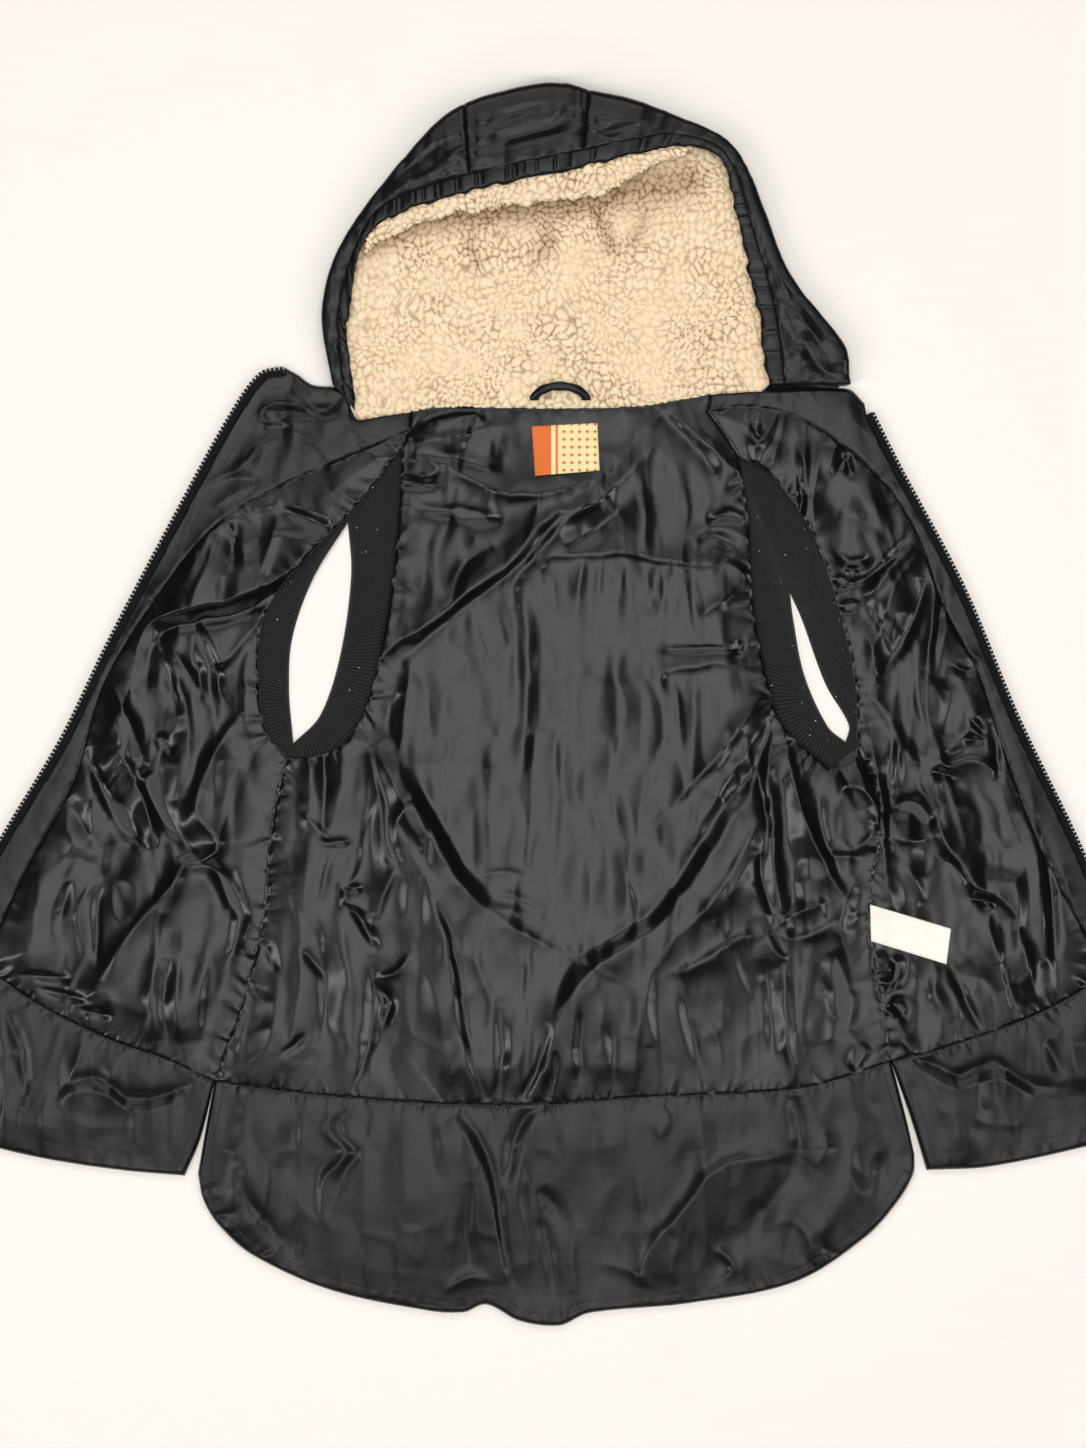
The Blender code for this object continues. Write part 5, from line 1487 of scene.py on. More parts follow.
@dataclass
class RibBand:
    """A knitted band along one side of an armhole, with its ribs across it."""

    name: str
    sewn_edge: tuple[str, ...]
    free_edge: str
    rests_on: str
    rib_pitch: float = 3.0
    rib_height: float = 0.9
    samples_a_rib: int = 6
    columns: int = 14
    step: float = 3.0
    # The band's height at its very edge, how much higher it is inside, and the width of its rolled edge
    foot: float = 0.5
    rise: float = 3.4
    roll: float = 4.0
    floor: float = 0.05
    # Some ribs stand prouder than others: by up to how much, changing every so many rows
    unevenness: float = 0.3
    uneven_rows: int = 9
    # How the painted shade between ribs falls off towards a rib's top
    shade_power: float = 1.5
    # How much longer the band is when it isn't drawn in by its ribs
    fullness: float = 1.2

    def build(self) -> bpy.types.Object:
        """Make the band in the place of its CAD solid.

        Returns:
            The new object.
        """
        sewn = np.vstack([seam(run, self.step) for run in self.sewn_edge])
        free = seam(self.free_edge, self.step)
        length = (lengths_along(sewn)[-1] + lengths_along(free)[-1]) / 2
        ribs = round(length / self.rib_pitch)
        rows = ribs * self.samples_a_rib + 1
        shares = np.linspace(0, 1, rows)
        sewn, free = at_shares(sewn, shares), at_shares(free, shares)
        across = np.linspace(0, 1, self.columns)
        width = np.linalg.norm(sewn - free, axis=1)
        verts, hollows = [], []
        random = np.random.default_rng(len(self.name))
        knots = np.arange(0, rows, self.uneven_rows)
        lift = np.interp(np.arange(rows), knots,
                         random.uniform(-self.unevenness, self.unevenness, len(knots)))
        for row in range(rows):
            rib = self.rib_height * (0.5 + 0.5 * math.cos(2 * math.pi * row / self.samples_a_rib))
            for part in across:
                spot = free[row] + (sewn[row] - free[row]) * part
                edge = min(part, 1 - part) * width[row]
                roll = math.sqrt(1 - (1 - min(1.0, edge / self.roll)) ** 2)
                height = self.foot + self.rise * roll + (rib + lift[row]) * roll
                verts.append((spot[0], spot[1], height))
                # Painted shade, darkest in the hollow between two ribs
                hollows.append((1 - rib / self.rib_height) ** self.shade_power)
        start = len(verts)
        verts += [(x, y, self.floor) for x, y in free]
        # Painted shade, full, on the strip down from the free edge to the surface
        hollows += [1.0] * rows
        faces = grid_faces(rows, self.columns)
        faces += [(start + row, row * self.columns, (row + 1) * self.columns, start + row + 1)
                  for row in range(rows - 1)]
        piece = add_piece(f"{self.name}_knit", np.array(verts), faces, RIB_KNIT)
        mark_painted_shade(piece, np.array(hollows))
        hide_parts(self.name)
        outline = closed_outline([free, sewn[::-1]])
        declare_sheet(outline, fullness=self.fullness)
        return piece


def waved(waves: Iterable[tuple[float, float, int]], places: np.ndarray) -> np.ndarray:
    """Layers of noise added up.

    Args:
        waves: Each layer's height, wavelength and seed.
        places: The places.

    Returns:
        The sum at each place.
    """
    return sum(high * Noise(cell, seed).at(places) for high, cell, seed in waves)


def squared(turns: np.ndarray, power: float) -> np.ndarray:
    """A circle's sines or cosines made into those of a fuller curve, for a power under 1."""
    return np.sign(turns) * abs(turns) ** power


class HoodForm:
    """The hood's form: where it is sewn on, its folded outline, its face edge and its heights."""

    BASE = [(-168, 262.5), (-148, 264.5), (-121, 268.5), (-94, 272), (14, 271.5), (86, 273.5), (131, 280.5),
            (151, 284.5), (201, 287.5), (262, 289)]
    FOLD = [(-189, 289), (-198, 353), (-181, 416), (-125, 491), (-76, 536), (5, 557), (61, 546), (122, 527),
            (169, 502), (196, 443), (221, 385), (265, 326), (274, 290)]
    RIM = [(-169, 266), (-176, 330), (-176, 351), (-157, 425), (-94, 454), (5, 476), (77, 493), (127, 503),
           (158, 490), (176, 425), (193, 351), (201, 290)]
    # Heights of the folded edge and of the face edge, at these shares of the way round
    HEIGHT_SHARES = (0.00, 0.18, 0.34, 0.46, 0.58, 0.70, 0.82, 1.00)
    FOLD_HEIGHTS = (13, 16, 24, 26, 26, 21, 16, 14)
    RIM_HEIGHTS = (13, 16, 28, 34, 31, 21, 16, 15)
    # Where the centre strip's two seams are
    STRIP_SHARES = (18 / 48, 25 / 48)
    # The most of its flange that the folded edge's turn takes up
    TURN_SHARE = 0.4
    # 1 turns the folded edge in an ellipse, less in a fuller curve
    ROUNDNESS = 0.55
    # The rim casing's width, and the most of the flange that it takes up
    CASING_WIDTH = 18.0
    CASING_SHARE = 0.55
    # The length that patterns along the hood are measured on
    LENGTH = 750.0
    # How far the hood's edge is tucked under the neck seam
    TUCK = 3.5

    def __init__(self, shares: np.ndarray) -> None:
        """Measure the hood.

        Args:
            shares: The shares of the way round, from its right foot to its left, where it is measured.
        """
        self.shares = shares
        self.base, self.fold, self.rim = (at_shares(smooth_line(points, LINE_STEP), shares)
                                          for points in (self.BASE, self.FOLD, self.RIM))
        self.base = self.base - (0.0, self.TUCK)
        self.fold_top = np.interp(shares, self.HEIGHT_SHARES, self.FOLD_HEIGHTS)
        self.rim_top = np.interp(shares, self.HEIGHT_SHARES, self.RIM_HEIGHTS)
        self.flange = np.linalg.norm(self.fold - self.rim, axis=1)
        self.out = (self.fold - self.rim) / self.flange[:, None]
        self.radius = np.minimum(self.fold_top / 2, self.flange * self.TURN_SHARE)
        self.turn = self.fold - self.out * self.radius[:, None]
        self.straight = self.flange - self.radius
        self.casing = np.minimum(self.CASING_WIDTH, self.flange * self.CASING_SHARE)

    def unrolled(self) -> np.ndarray:
        """The stations on a straight line, for noise that changes along the hood alone."""
        return np.column_stack([self.shares * self.LENGTH, np.zeros(len(self.shares))])

    def lower(self, portions: np.ndarray, depth: float) -> np.ndarray:
        """Places of the lower sheet.

        Args:
            portions: Shares of the way from the neck seam to the turn.
            depth: How high the places lie over the surface.

        Returns:
            Places by share and portion.
        """
        spots = self.base[:, None] + (self.turn - self.base)[:, None] * portions[None, :, None]
        return np.dstack([spots, np.full(spots.shape[:2], depth)])

    def arc(self, degrees: np.ndarray, depth: np.ndarray | float) -> np.ndarray:
        """Places round the folded edge.

        Args:
            degrees: Angles from -90 below to 90 above.
            depth: How deep the places lie under the outer face.

        Returns:
            Places by share and angle.
        """
        angle = np.radians(degrees)[None]
        middle = (self.fold_top / 2)[:, None]
        across, upwards = (squared(turn, self.ROUNDNESS) for turn in (np.cos(angle), np.sin(angle)))
        spots = self.turn[:, None] + self.out[:, None] * ((self.radius[:, None] - depth) * across)[..., None]
        return np.dstack([spots, middle + (middle - depth) * upwards])

    def upper(self, reaches: np.ndarray, depth: np.ndarray | float) -> np.ndarray:
        """Places of the part folded over.

        Args:
            reaches: Distances from the turn towards the face edge.
            depth: How deep the places lie under the outer face.

        Returns:
            Places by share and reach.
        """
        spots = self.turn[:, None] - self.out[:, None] * reaches[..., None]
        slope = (self.rim_top - self.fold_top) / self.straight
        height = self.fold_top[:, None] + slope[:, None] * reaches
        return np.dstack([spots, height - depth])


def lofted_faces(count: int, size: int) -> list[tuple[int, ...]]:
    """Faces of a closed form through rings of places, its two end rings filled across.

    Args:
        count: The number of rings.
        size: The places of a ring, an even number that runs there and back.

    Returns:
        The vertex rows of each face.
    """
    faces = grid_faces(count, size, closed=True)
    for first, order in ((0, -1), ((count - 1) * size, 1)):
        faces += [(first + index, first + index + 1, first + size - 2 - index,
                   first + size - 1 - index)[::order] for index in range(size // 2 - 1)]
    return faces


def loft(name: str, rings: np.ndarray, finish: Finish) -> bpy.types.Object:
    """A closed form through rings of places, its ends filled across.

    Args:
        name: The piece's name.
        rings: Rings by places by three coordinates; each ring runs there and back.
        finish: The surface finish.

    Returns:
        The new object.
    """
    return add_piece(name, rings.reshape(-1, 3), lofted_faces(*rings.shape[:2]), finish)


class Curls:
    """Tumbled curls of pile: rounded worms in an uneven packing, with narrow hollows between them."""

    CELL = 6.2
    SIDE = 128
    # Where in its cell a curl's middle may lie
    JITTER = (0.05, 0.95)
    STRETCH = (1.0, 0.8)
    HOLLOW_WIDTH = 0.14
    # How far the packing is moved about, finely and broadly, and how steeply a curl rises from its hollow
    WARP = 2.2
    WIDE_WARP = 9.0
    SLOPE_WIDTH = 0.22
    # The wavelengths of both, of the clumps and of the threads
    WAVELENGTHS = (7.0, 38.0, 24.0, 2.8)
    # The nearest curl lies within this many cells, and nearer than this
    CELLS_AWAY = 2
    FAR = 9.0
    # What a hollow's painted shade keeps at its palest clump, and what the curls' levels, threads and clumps
    # add
    HOLLOW_SHARES = (0.65, 0.35)
    LEVEL_SHARES = (0.85, 0.15)
    THREAD_SHARE = 0.12
    CLUMP_SHARE = 0.2

    def __init__(self, seed: int) -> None:
        """Scatter the curls' middles.

        Args:
            seed: The seed of what is random in them.
        """
        random = np.random.default_rng(seed)
        self.jitter = random.uniform(*self.JITTER, (self.SIDE, self.SIDE, 2))
        self.level = random.uniform(-1, 1, (self.SIDE, self.SIDE))
        fine, wide, clump, thread = self.WAVELENGTHS
        noise_seeds = iter(range(seed + 1, seed + 7))
        self.warp = (Noise(fine, next(noise_seeds)), Noise(fine, next(noise_seeds)))
        self.clumps = Noise(clump, next(noise_seeds))
        self.threads = Noise(thread, next(noise_seeds))
        self.wide_warp = (Noise(wide, next(noise_seeds)), Noise(wide, next(noise_seeds)))

    def at(self, places: np.ndarray) -> tuple[np.ndarray, np.ndarray]:
        """The pile at some places.

        Args:
            places: The places.

        Returns:
            Its height, from about 0 in the hollows to 1 on the curls, and its painted shade, from 0 to 1.
        """
        moved = places + self.WARP * np.column_stack([noise.at(places) for noise in self.warp])
        moved += self.WIDE_WARP * np.column_stack([noise.at(places) for noise in self.wide_warp])
        scaled = moved * self.STRETCH / self.CELL
        corner = np.floor(scaled).astype(int)
        nearest, second = np.full(len(places), self.FAR), np.full(len(places), self.FAR)
        level = np.zeros(len(places))
        around = 2 * self.CELLS_AWAY + 1
        for step in np.ndindex(around, around):
            cell = corner + step - self.CELLS_AWAY
            row, column = (cell % self.SIDE).T
            middle = cell + self.jitter[row, column]
            apart = np.linalg.norm(scaled - middle, axis=1)
            closer = apart < nearest
            second = np.where(closer, nearest, np.minimum(second, apart))
            level = np.where(closer, self.level[row, column], level)
            nearest = np.minimum(nearest, apart)
        from_hollow = second - nearest
        clump = self.clumps.at(places)
        base, swing = self.HOLLOW_SHARES
        # Painted shade in the hollows between curls, weaker over the paler clumps
        hollow = np.exp(-(from_hollow / self.HOLLOW_WIDTH) ** 2) * (base + swing * clump)
        threads = 1 - 2 * abs(self.threads.at(places))
        base, swing = self.LEVEL_SHARES
        height = (1 - np.exp(-from_hollow / self.SLOPE_WIDTH)) * (base + swing * level)
        height += self.THREAD_SHARE * threads
        return height + self.CLUMP_SHARE * clump, np.clip(hollow, 0, 1)


@dataclass
class RimCasing:
    """The gathered band that holds the draw cord round the hood's face edge."""

    stations: int = 560
    # The angle between the places round its section
    turn_step: float = 22.5
    # How far its section reaches past the panels' edge, and how far below and above the rim
    overhang: float = 0.6
    below: float = 2.4
    above: float = 2.2
    squareness: float = 0.55
    # The tucks of its gathers: how deep, how narrow, and the wavelength and seed of their noise
    tuck_depth: float = 1.3
    tuck_width: float = 0.16
    tuck_noise: tuple[float, int] = (10.0, 41)
    # What else moves its top and its face edge: by how much, over what length, with which seed
    top_waves: tuple[tuple[float, float, int], ...] = ((0.7, 12.0, 45), (1.1, 28.0, 42))
    edge_waves: tuple[tuple[float, float, int], ...] = ((1.0, 6.0, 43), (1.4, 16.0, 44))
    # Ripples round its section: how high, how many, and how far along one turns about
    ripple: float = 0.06
    ripples: int = 5
    ripple_twist: float = 3.0

    def build(self) -> None:
        """Make the band in the place of its CAD solid."""
        form = HoodForm(np.linspace(0, 1, self.stations))
        flat = form.unrolled()
        tucks = self.tuck_depth * np.exp(-(Noise(*self.tuck_noise).at(flat) / self.tuck_width) ** 2)
        top = form.rim_top + self.above - tucks + waved(self.top_waves, flat)
        bottom = form.rim_top - self.below
        turns = np.radians(np.arange(0, 360, self.turn_step))[None]
        half = (form.casing / 2 + self.overhang)[:, None]
        reach = half + np.where(np.cos(turns) < 0, waved(self.edge_waves, flat)[:, None], 0)
        wave = 1 + self.ripple * np.sin(self.ripples * turns + flat[:, :1] / self.ripple_twist)
        spots = (form.rim + form.out * half)[:, None]
        spots = spots + form.out[:, None] * (reach * np.cos(turns) * wave)[..., None]
        levels = ((top + bottom) / 2)[:, None]
        levels = levels + ((top - bottom) / 2)[:, None] * squared(np.sin(turns), self.squareness)
        piece = loft("hood_rim_casing_padded", np.dstack([spots, levels]), TAFFETA_SHELL)
        declare_padded("hood_rim_casing")


class Hood:
    """The padded hood, laid on its back with its crown folded over, and its pile lining."""

    STATIONS = 380
    # How much closer than even the stations stand beside a seam
    CROWDING = 0.85
    # Depths of the shell's and the pile's two faces under the hood's outer face
    DEPTHS = (0.1, 2.5)
    PILE_DEPTHS = (2.8, 8.8)
    # From where to where each turns round the folded edge, in degrees, and in how many places
    TURN = (-80, 90, 22)
    PILE_TURN = (-40, 90, 8)
    # Places across the lower sheet and across the part folded over, and over the crown's pile
    LOWER_PLACES = 6
    UPPER_PLACES = 34
    PILE_PLACES = 48
    # How much of the casing's width the panels run under it
    UNDER_CASING = 0.8
    PILE_STATIONS = 260
    LIP_REACH = 12.0
    # The lip hangs further out round this share of the way round: by how much, where, and how widely
    LIP_SAG = (13.0, 0.53, 0.10)
    LIP_SHARES = (11 / 48, 32 / 48)
    # What makes the lip uneven, and the angle between the places round it
    LIP_WAVES = ((2.2, 7.0, 52), (1.6, 24.0, 53))
    LIP_TURN = 22.5
    PUFF = 5.5
    FOLD_GAIN = 1.5
    CRUMPLE = 2.0
    # What a seam takes from the puff: which share, within about how far
    SEAM_DIPS = ((0.2, 1.0), (0.25, 16.0))
    # The puckers' heights and reaches beside the casing and beside a seam, and their height everywhere
    CASING_PUCKERS = (0.55, 10.0)
    SEAM_PUCKERS = (0.4, 6.0)
    LOOSE_PUCKERS = 0.14
    PUFF_SWING = 0.16
    # Wavelengths and seeds of what makes the padding uneven
    PUCKER_NOISE = (9.0, 32)
    PUFF_NOISE = (34.0, 31)
    FOLD_NOISE = (17.0, 34)
    CRUMPLE_NOISE = (26.0, 35)
    # The pile stays clear of the neck seam where the left side panel lies over it
    SHOWN_TO = 196.0
    CLEAR = 12.0
    CLEAR_BAND = 12.0
    PILE_STEP = 1.6
    PILE_EDGE_STEP = 2.0
    PILE_HEIGHT = 4.0
    # The lower pile: how far in from the turn it ends, its foot, its rise and how much that swings, the
    # width of its rolled edge and the share of its curls that the edge keeps
    PILE_INSET = 1.0
    PILE_FOOT = 3.0
    PILE_RISE = 5.2
    PILE_SWING = 1.2
    PILE_SWELL = (60.0, 62)
    PILE_ROLL = 5.0
    EDGE_CURLS = 0.4
    # The level of a curl that leaves the pile's form as it is, on the crown and below
    CROWN_LEVEL = 0.6
    BACK_LEVEL = 0.4
    # How the curls' pattern goes on down the crown's sides
    CURL_SLANT = (0.7, -0.6)
    CROWN_SEED = 51
    BACK_SEED = 61
    # How strong the painted shade under the crown's lip and along its folds is
    PAINTED_SHADE_STRENGTH = 0.75
    # Where the pile gets painted shade, under the crown's lip and along its folds: within how far of which
    # line, and how dark
    PAINTED_SHADE_LINES = (
        (17, 0.7, ((-160, 420), (-110, 440), (-40, 449), (30, 458), (90, 466), (130, 474))),
        (9, 0.5, ((2, 452), (4, 430), (0, 410))),
        (8, 0.55, ((40, 455), (52, 435), (60, 415))),
        (7, 0.4, ((-60, 440), (-66, 420), (-60, 400))),
        (8, 0.4, ((95, 460), (90, 438), (80, 420))),
    )

    def build(self) -> None:
        """Make all the hood's pieces."""
        first, last = HoodForm.STRIP_SHARES
        for name, start, end in (("hood_side_right", 0.0, first), ("hood_centre_strip", first, last),
                                 ("hood_side_left", last, 1.0)):
            self.shell_panel(name, start, end)
        RimCasing().build()
        self.crown_lining()
        self.back_lining()

    def shell_panel(self, name: str, start: float, end: float) -> None:
        """One padded panel of the hood's outer cloth.

        Args:
            name: Its node's name.
            start: The share of the way round where it starts.
            end: The share where it ends.
        """
        portion = np.linspace(0, 1, round((end - start) * self.STATIONS))
        crowding = self.CROWDING * np.sin(2 * math.pi * portion) / (2 * math.pi)
        shares = start + (end - start) * (portion - crowding)
        form = HoodForm(shares)
        degrees = np.linspace(*self.TURN)
        shown = (form.straight - form.casing * self.UNDER_CASING)[:, None]
        reaches = shown * np.linspace(0, 1, self.UPPER_PLACES)[None, 1:]
        side_distance = np.minimum(shares - start, end - shares)[:, None] * HoodForm.LENGTH
        puff = self.puff(form, reaches, side_distance)
        arc_share = np.clip(np.sin(np.radians(degrees)), 0, 1)[None]
        portions = np.linspace(0, 1, self.LOWER_PLACES)
        top, bottom = self.DEPTHS
        outer = np.concatenate([form.lower(portions, top), form.arc(degrees, top - puff[:, :1] * arc_share),
                                form.upper(reaches, top - puff)], axis=1)
        inner = np.concatenate([form.lower(portions, bottom), form.arc(degrees, bottom),
                                form.upper(reaches, bottom)], axis=1)
        piece = loft(f"{name}_padded", np.concatenate([outer, inner[:, ::-1]], axis=1), TAFFETA_SHELL)
        declare_padded(name)

    def puff(self, form: HoodForm, reaches: np.ndarray, side_distance: np.ndarray) -> np.ndarray:
        """How far the padding lifts the cloth, with its folds, and puckers at its seams.

        Args:
            form: The hood's form at the panel's stations.
            reaches: Distances from the turn, by station.
            side_distance: How far each station lies from the panel's nearer seam.

        Returns:
            The lift by station and reach.
        """
        spots = form.upper(reaches, 0.0)[..., :2].reshape(-1, 2)
        shape = reaches.shape
        to_casing = reaches[:, -1:] - reaches
        to_seam = np.minimum(to_casing, side_distance)
        lift = self.PUFF * (1 - sum(share * np.exp(-to_seam / reach) for share, reach in self.SEAM_DIPS))
        puckered = self.LOOSE_PUCKERS
        for apart, (high, reach) in ((to_casing, self.CASING_PUCKERS), (side_distance, self.SEAM_PUCKERS)):
            puckered = puckered + high * np.exp(-apart / reach)
        ridged = (1 - abs(Noise(*self.PUCKER_NOISE).at(spots)) * 2).reshape(shape)
        folds = fold_height([(crease, smooth_line(crease.points, LINE_STEP)) for crease in HOOD_CREASES],
                            spots, Noise(*self.FOLD_NOISE).at(spots)).reshape(shape)
        crumple = self.CRUMPLE * abs(Noise(*self.CRUMPLE_NOISE).at(spots)).reshape(shape)
        swung = lift * (1 + self.PUFF_SWING * Noise(*self.PUFF_NOISE).at(spots).reshape(shape))
        return swung + ridged * puckered + (self.FOLD_GAIN * folds + crumple) * lift / self.PUFF

    def crown_lining(self) -> None:
        """The pile inside the crown, which rolls out past the face edge."""
        form = HoodForm(np.linspace(*self.LIP_SHARES, self.PILE_STATIONS))
        degrees = np.linspace(*self.PILE_TURN)
        sag, middle, spread = self.LIP_SAG
        lip = self.LIP_REACH + sag * np.exp(-((form.shares - middle) / spread) ** 2)
        lip += waved(self.LIP_WAVES, form.unrolled())
        reaches = (form.straight + lip)[:, None] * np.linspace(0, 1, self.PILE_PLACES)[None, 1:]
        outer, inner = (np.concatenate([form.arc(degrees, depth), form.upper(reaches, depth)], axis=1)
                        for depth in self.PILE_DEPTHS)
        middle_depth = sum(self.PILE_DEPTHS) / 2
        half = middle_depth - self.PILE_DEPTHS[0]
        turns = np.radians(np.arange(90 - self.LIP_TURN, -90, -self.LIP_TURN))
        end = np.concatenate([form.upper((reaches[:, -1] + half * math.cos(turn))[:, None],
                                         middle_depth - half * math.sin(turn)) for turn in turns], axis=1)
        piece = loft("hood_lining_crown_pile", np.concatenate([outer, end, inner[:, ::-1]], axis=1),
                     CURLY_PILE)
        vertices = piece.data.vertices
        coords, normals = np.zeros(len(vertices) * 3), np.zeros(len(vertices) * 3)
        vertices.foreach_get("co", coords)
        vertices.foreach_get("normal", normals)
        coords, normals = coords.reshape(-1, 3), normals.reshape(-1, 3)
        height, hollow = Curls(self.CROWN_SEED).at((coords[:, :2] + coords[:, 2:] * self.CURL_SLANT) / MM)
        coords += normals * ((height - self.CROWN_LEVEL) * self.PILE_HEIGHT * MM)[:, None]
        vertices.foreach_set("co", coords.ravel())
        piece.data.update()
        # Painted shade in the hollows between the crown's curls
        mark_painted_shade(piece, hollow)
        declare_padded("hood_lining_crown")

    def back_lining(self) -> None:
        """The pile on the hood's lower sheet, which shows through the face opening."""
        form = HoodForm(np.linspace(0, 1, self.PILE_STATIONS))
        edge = form.fold - form.out * (form.radius + self.PILE_INSET)[:, None]
        base = form.base.copy()
        base[:, 1] += self.CLEAR * np.clip((base[:, 0] - self.SHOWN_TO) / self.CLEAR_BAND, 0, 1)
        outline = closed_outline([resample(line, self.PILE_EDGE_STEP) for line in (base, edge[::-1])])
        places, faces = triangulate(outline, inner_grid(outline, self.PILE_STEP))
        rows, apart, _ = project(np.vstack([outline, outline[:1]]), places, self.PILE_ROLL)
        edge_distance = np.full(len(places), self.PILE_ROLL)
        edge_distance[rows] = abs(apart)
        roll = np.sqrt(1 - (1 - edge_distance / self.PILE_ROLL) ** 2)
        curls, hollow = Curls(self.BACK_SEED).at(places)
        rise = self.PILE_RISE + self.PILE_SWING * Noise(*self.PILE_SWELL).at(places)
        kept = self.EDGE_CURLS + (1 - self.EDGE_CURLS) * roll
        heights = self.PILE_FOOT + rise * roll + self.PILE_HEIGHT * (curls - self.BACK_LEVEL) * kept
        piece = add_piece("hood_lining_back_pile", np.column_stack([places, heights]), faces, CURLY_PILE)
        # Painted shade under the crown's lip, added to the painted shade of the curls' hollows
        mark_painted_shade(piece, np.clip(hollow + self.PAINTED_SHADE_STRENGTH * self.shade(places), 0, 1))
        declare_padded("hood_lining_back")

    def shade(self, places: np.ndarray) -> np.ndarray:
        """The painted shade on the pile, under the crown's lip and along its folds.

        Args:
            places: The places.

        Returns:
            From 0 where there is none to 1, for each place.
        """
        inside = np.zeros(len(places))
        for width, share, points in self.PAINTED_SHADE_LINES:
            rows, apart, _ = project(smooth_line(points, LINE_STEP), places, 3 * width)
            inside[rows] = np.maximum(inside[rows], share * np.exp(-(apart / width) ** 2))
        return inside


@dataclass
class Zip:
    """The moulded tooth chain and woven tape along one front edge."""

    side: Side
    pitch: float = 4.0
    end_length: float = 14.0
    # Half of a tooth seen from above: how far across the chain, and how wide there
    outline: tuple[tuple[float, float], ...] = ((0.0, 1.0), (0.5, 1.4), (1.4, 1.35), (2.1, 1.0), (3.0, 0.9),
                                                (3.4, 1.3), (4.7, 1.3))
    # Heights of a tooth from its foot to its top, and its size there
    levels: tuple[tuple[float, float], ...] = ((4.9, 0.85), (5.4, 1.0), (7.4, 1.0), (7.9, 0.75))
    # The place across the chain that a tooth's ends draw in towards, and how much of its size they follow
    waist: float = 2.4
    follows: float = 0.5
    # The tape's section: where it is from its inner edge, 0, to its outer, 1, and how high
    tape_edges: tuple[float, float] = (2.3, 8.4)
    tape_section: tuple[tuple[float, float], ...] = ((1.0, 6.0), (1.0, 6.9), (0.5, 7.0), (0.0, 6.8),
                                                     (0.0, 6.0), (0.5, 5.9))

    def build(self) -> None:
        """Make the teeth and the tape in the places of their CAD solids."""
        line = zip_line(self.side, 0.0)
        inside = zip_line(self.side, 1.0)
        length = lengths_along(line)[-1]
        count = int((length - self.end_length) / self.pitch)
        shares = (np.arange(count) + 0.5) * self.pitch / length
        spots = at_shares(line, shares)
        across = at_shares(inside, shares) - spots
        across /= np.linalg.norm(across, axis=1)[:, None]
        profile = [*self.outline, *((depth, -half) for depth, half in reversed(self.outline))]
        tooth = lofted_faces(len(self.levels), len(profile))
        verts, faces = [], []
        for spot, inwards in zip(spots, across):
            along = np.array((-inwards[1], inwards[0]))
            faces += [tuple(len(verts) + corner for corner in face) for face in tooth]
            for height, size in self.levels:
                for depth, half in profile:
                    drawn = self.waist + (depth - self.waist) * (1 - self.follows * (1 - size))
                    verts.append((*(spot + inwards * drawn + along * half * size), height))
        teeth = add_piece(f"zip_teeth_{self.side.value}", np.array(verts), faces, MOULDED_ACETAL)
        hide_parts(f"zip_chain_{self.side.value}")
        self.tape()

    def tape(self) -> None:
        """The tape that the teeth are moulded on."""
        inner, outer = self.tape_edges
        rings = np.stack([np.column_stack([zip_line(self.side, inner + (outer - inner) * share),
                                           np.full(ZIP_PLACES, height)])
                          for share, height in self.tape_section], axis=1)
        piece = loft(f"zip_tape_{self.side.value}_woven", rings, WOVEN_TAPE)
        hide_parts(f"zip_tape_{self.side.value}")


@dataclass
class HangerLoop:
    """The rolled loop at the middle of the neck."""

    middle_x: float = 14.5
    foot_y: float = 276.0
    half_width: float = 23.5
    reach: float = 12.5
    floor: float = 11.4
    rise: float = 5.0
    # Its section: half its width and half its thickness, and the angle between the places round it
    half_section: tuple[float, float] = (3.9, 1.9)
    turn_step: int = 30
    stations: int = 60
    # The roll swells and narrows: by how much, and how many times
    swell: float = 0.08
    swells: int = 9

    def build(self) -> None:
        """Make the loop in the place of its CAD solid."""
        turns = np.radians(np.arange(0, 360, self.turn_step))
        rings = []
        for angle in np.linspace(0, math.pi, self.stations):
            middle = np.array((self.middle_x - self.half_width * math.cos(angle),
                               self.foot_y + self.reach * math.sin(angle)))
            ahead = np.array((self.half_width * math.sin(angle), self.reach * math.cos(angle)))
            ahead /= np.linalg.norm(ahead)
            across = np.array((-ahead[1], ahead[0]))
            level = self.floor + self.rise * math.sin(angle)
            wide, thick = self.half_section
            wide *= 1 + self.swell * math.sin(self.swells * angle)
            rings.append([(*(middle + across * wide * math.cos(turn)), level + thick * math.sin(turn))
                          for turn in turns])
        piece = loft("hanger_loop_rolled", np.array(rings), TAFFETA_SHELL)
        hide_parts("hanger_loop")


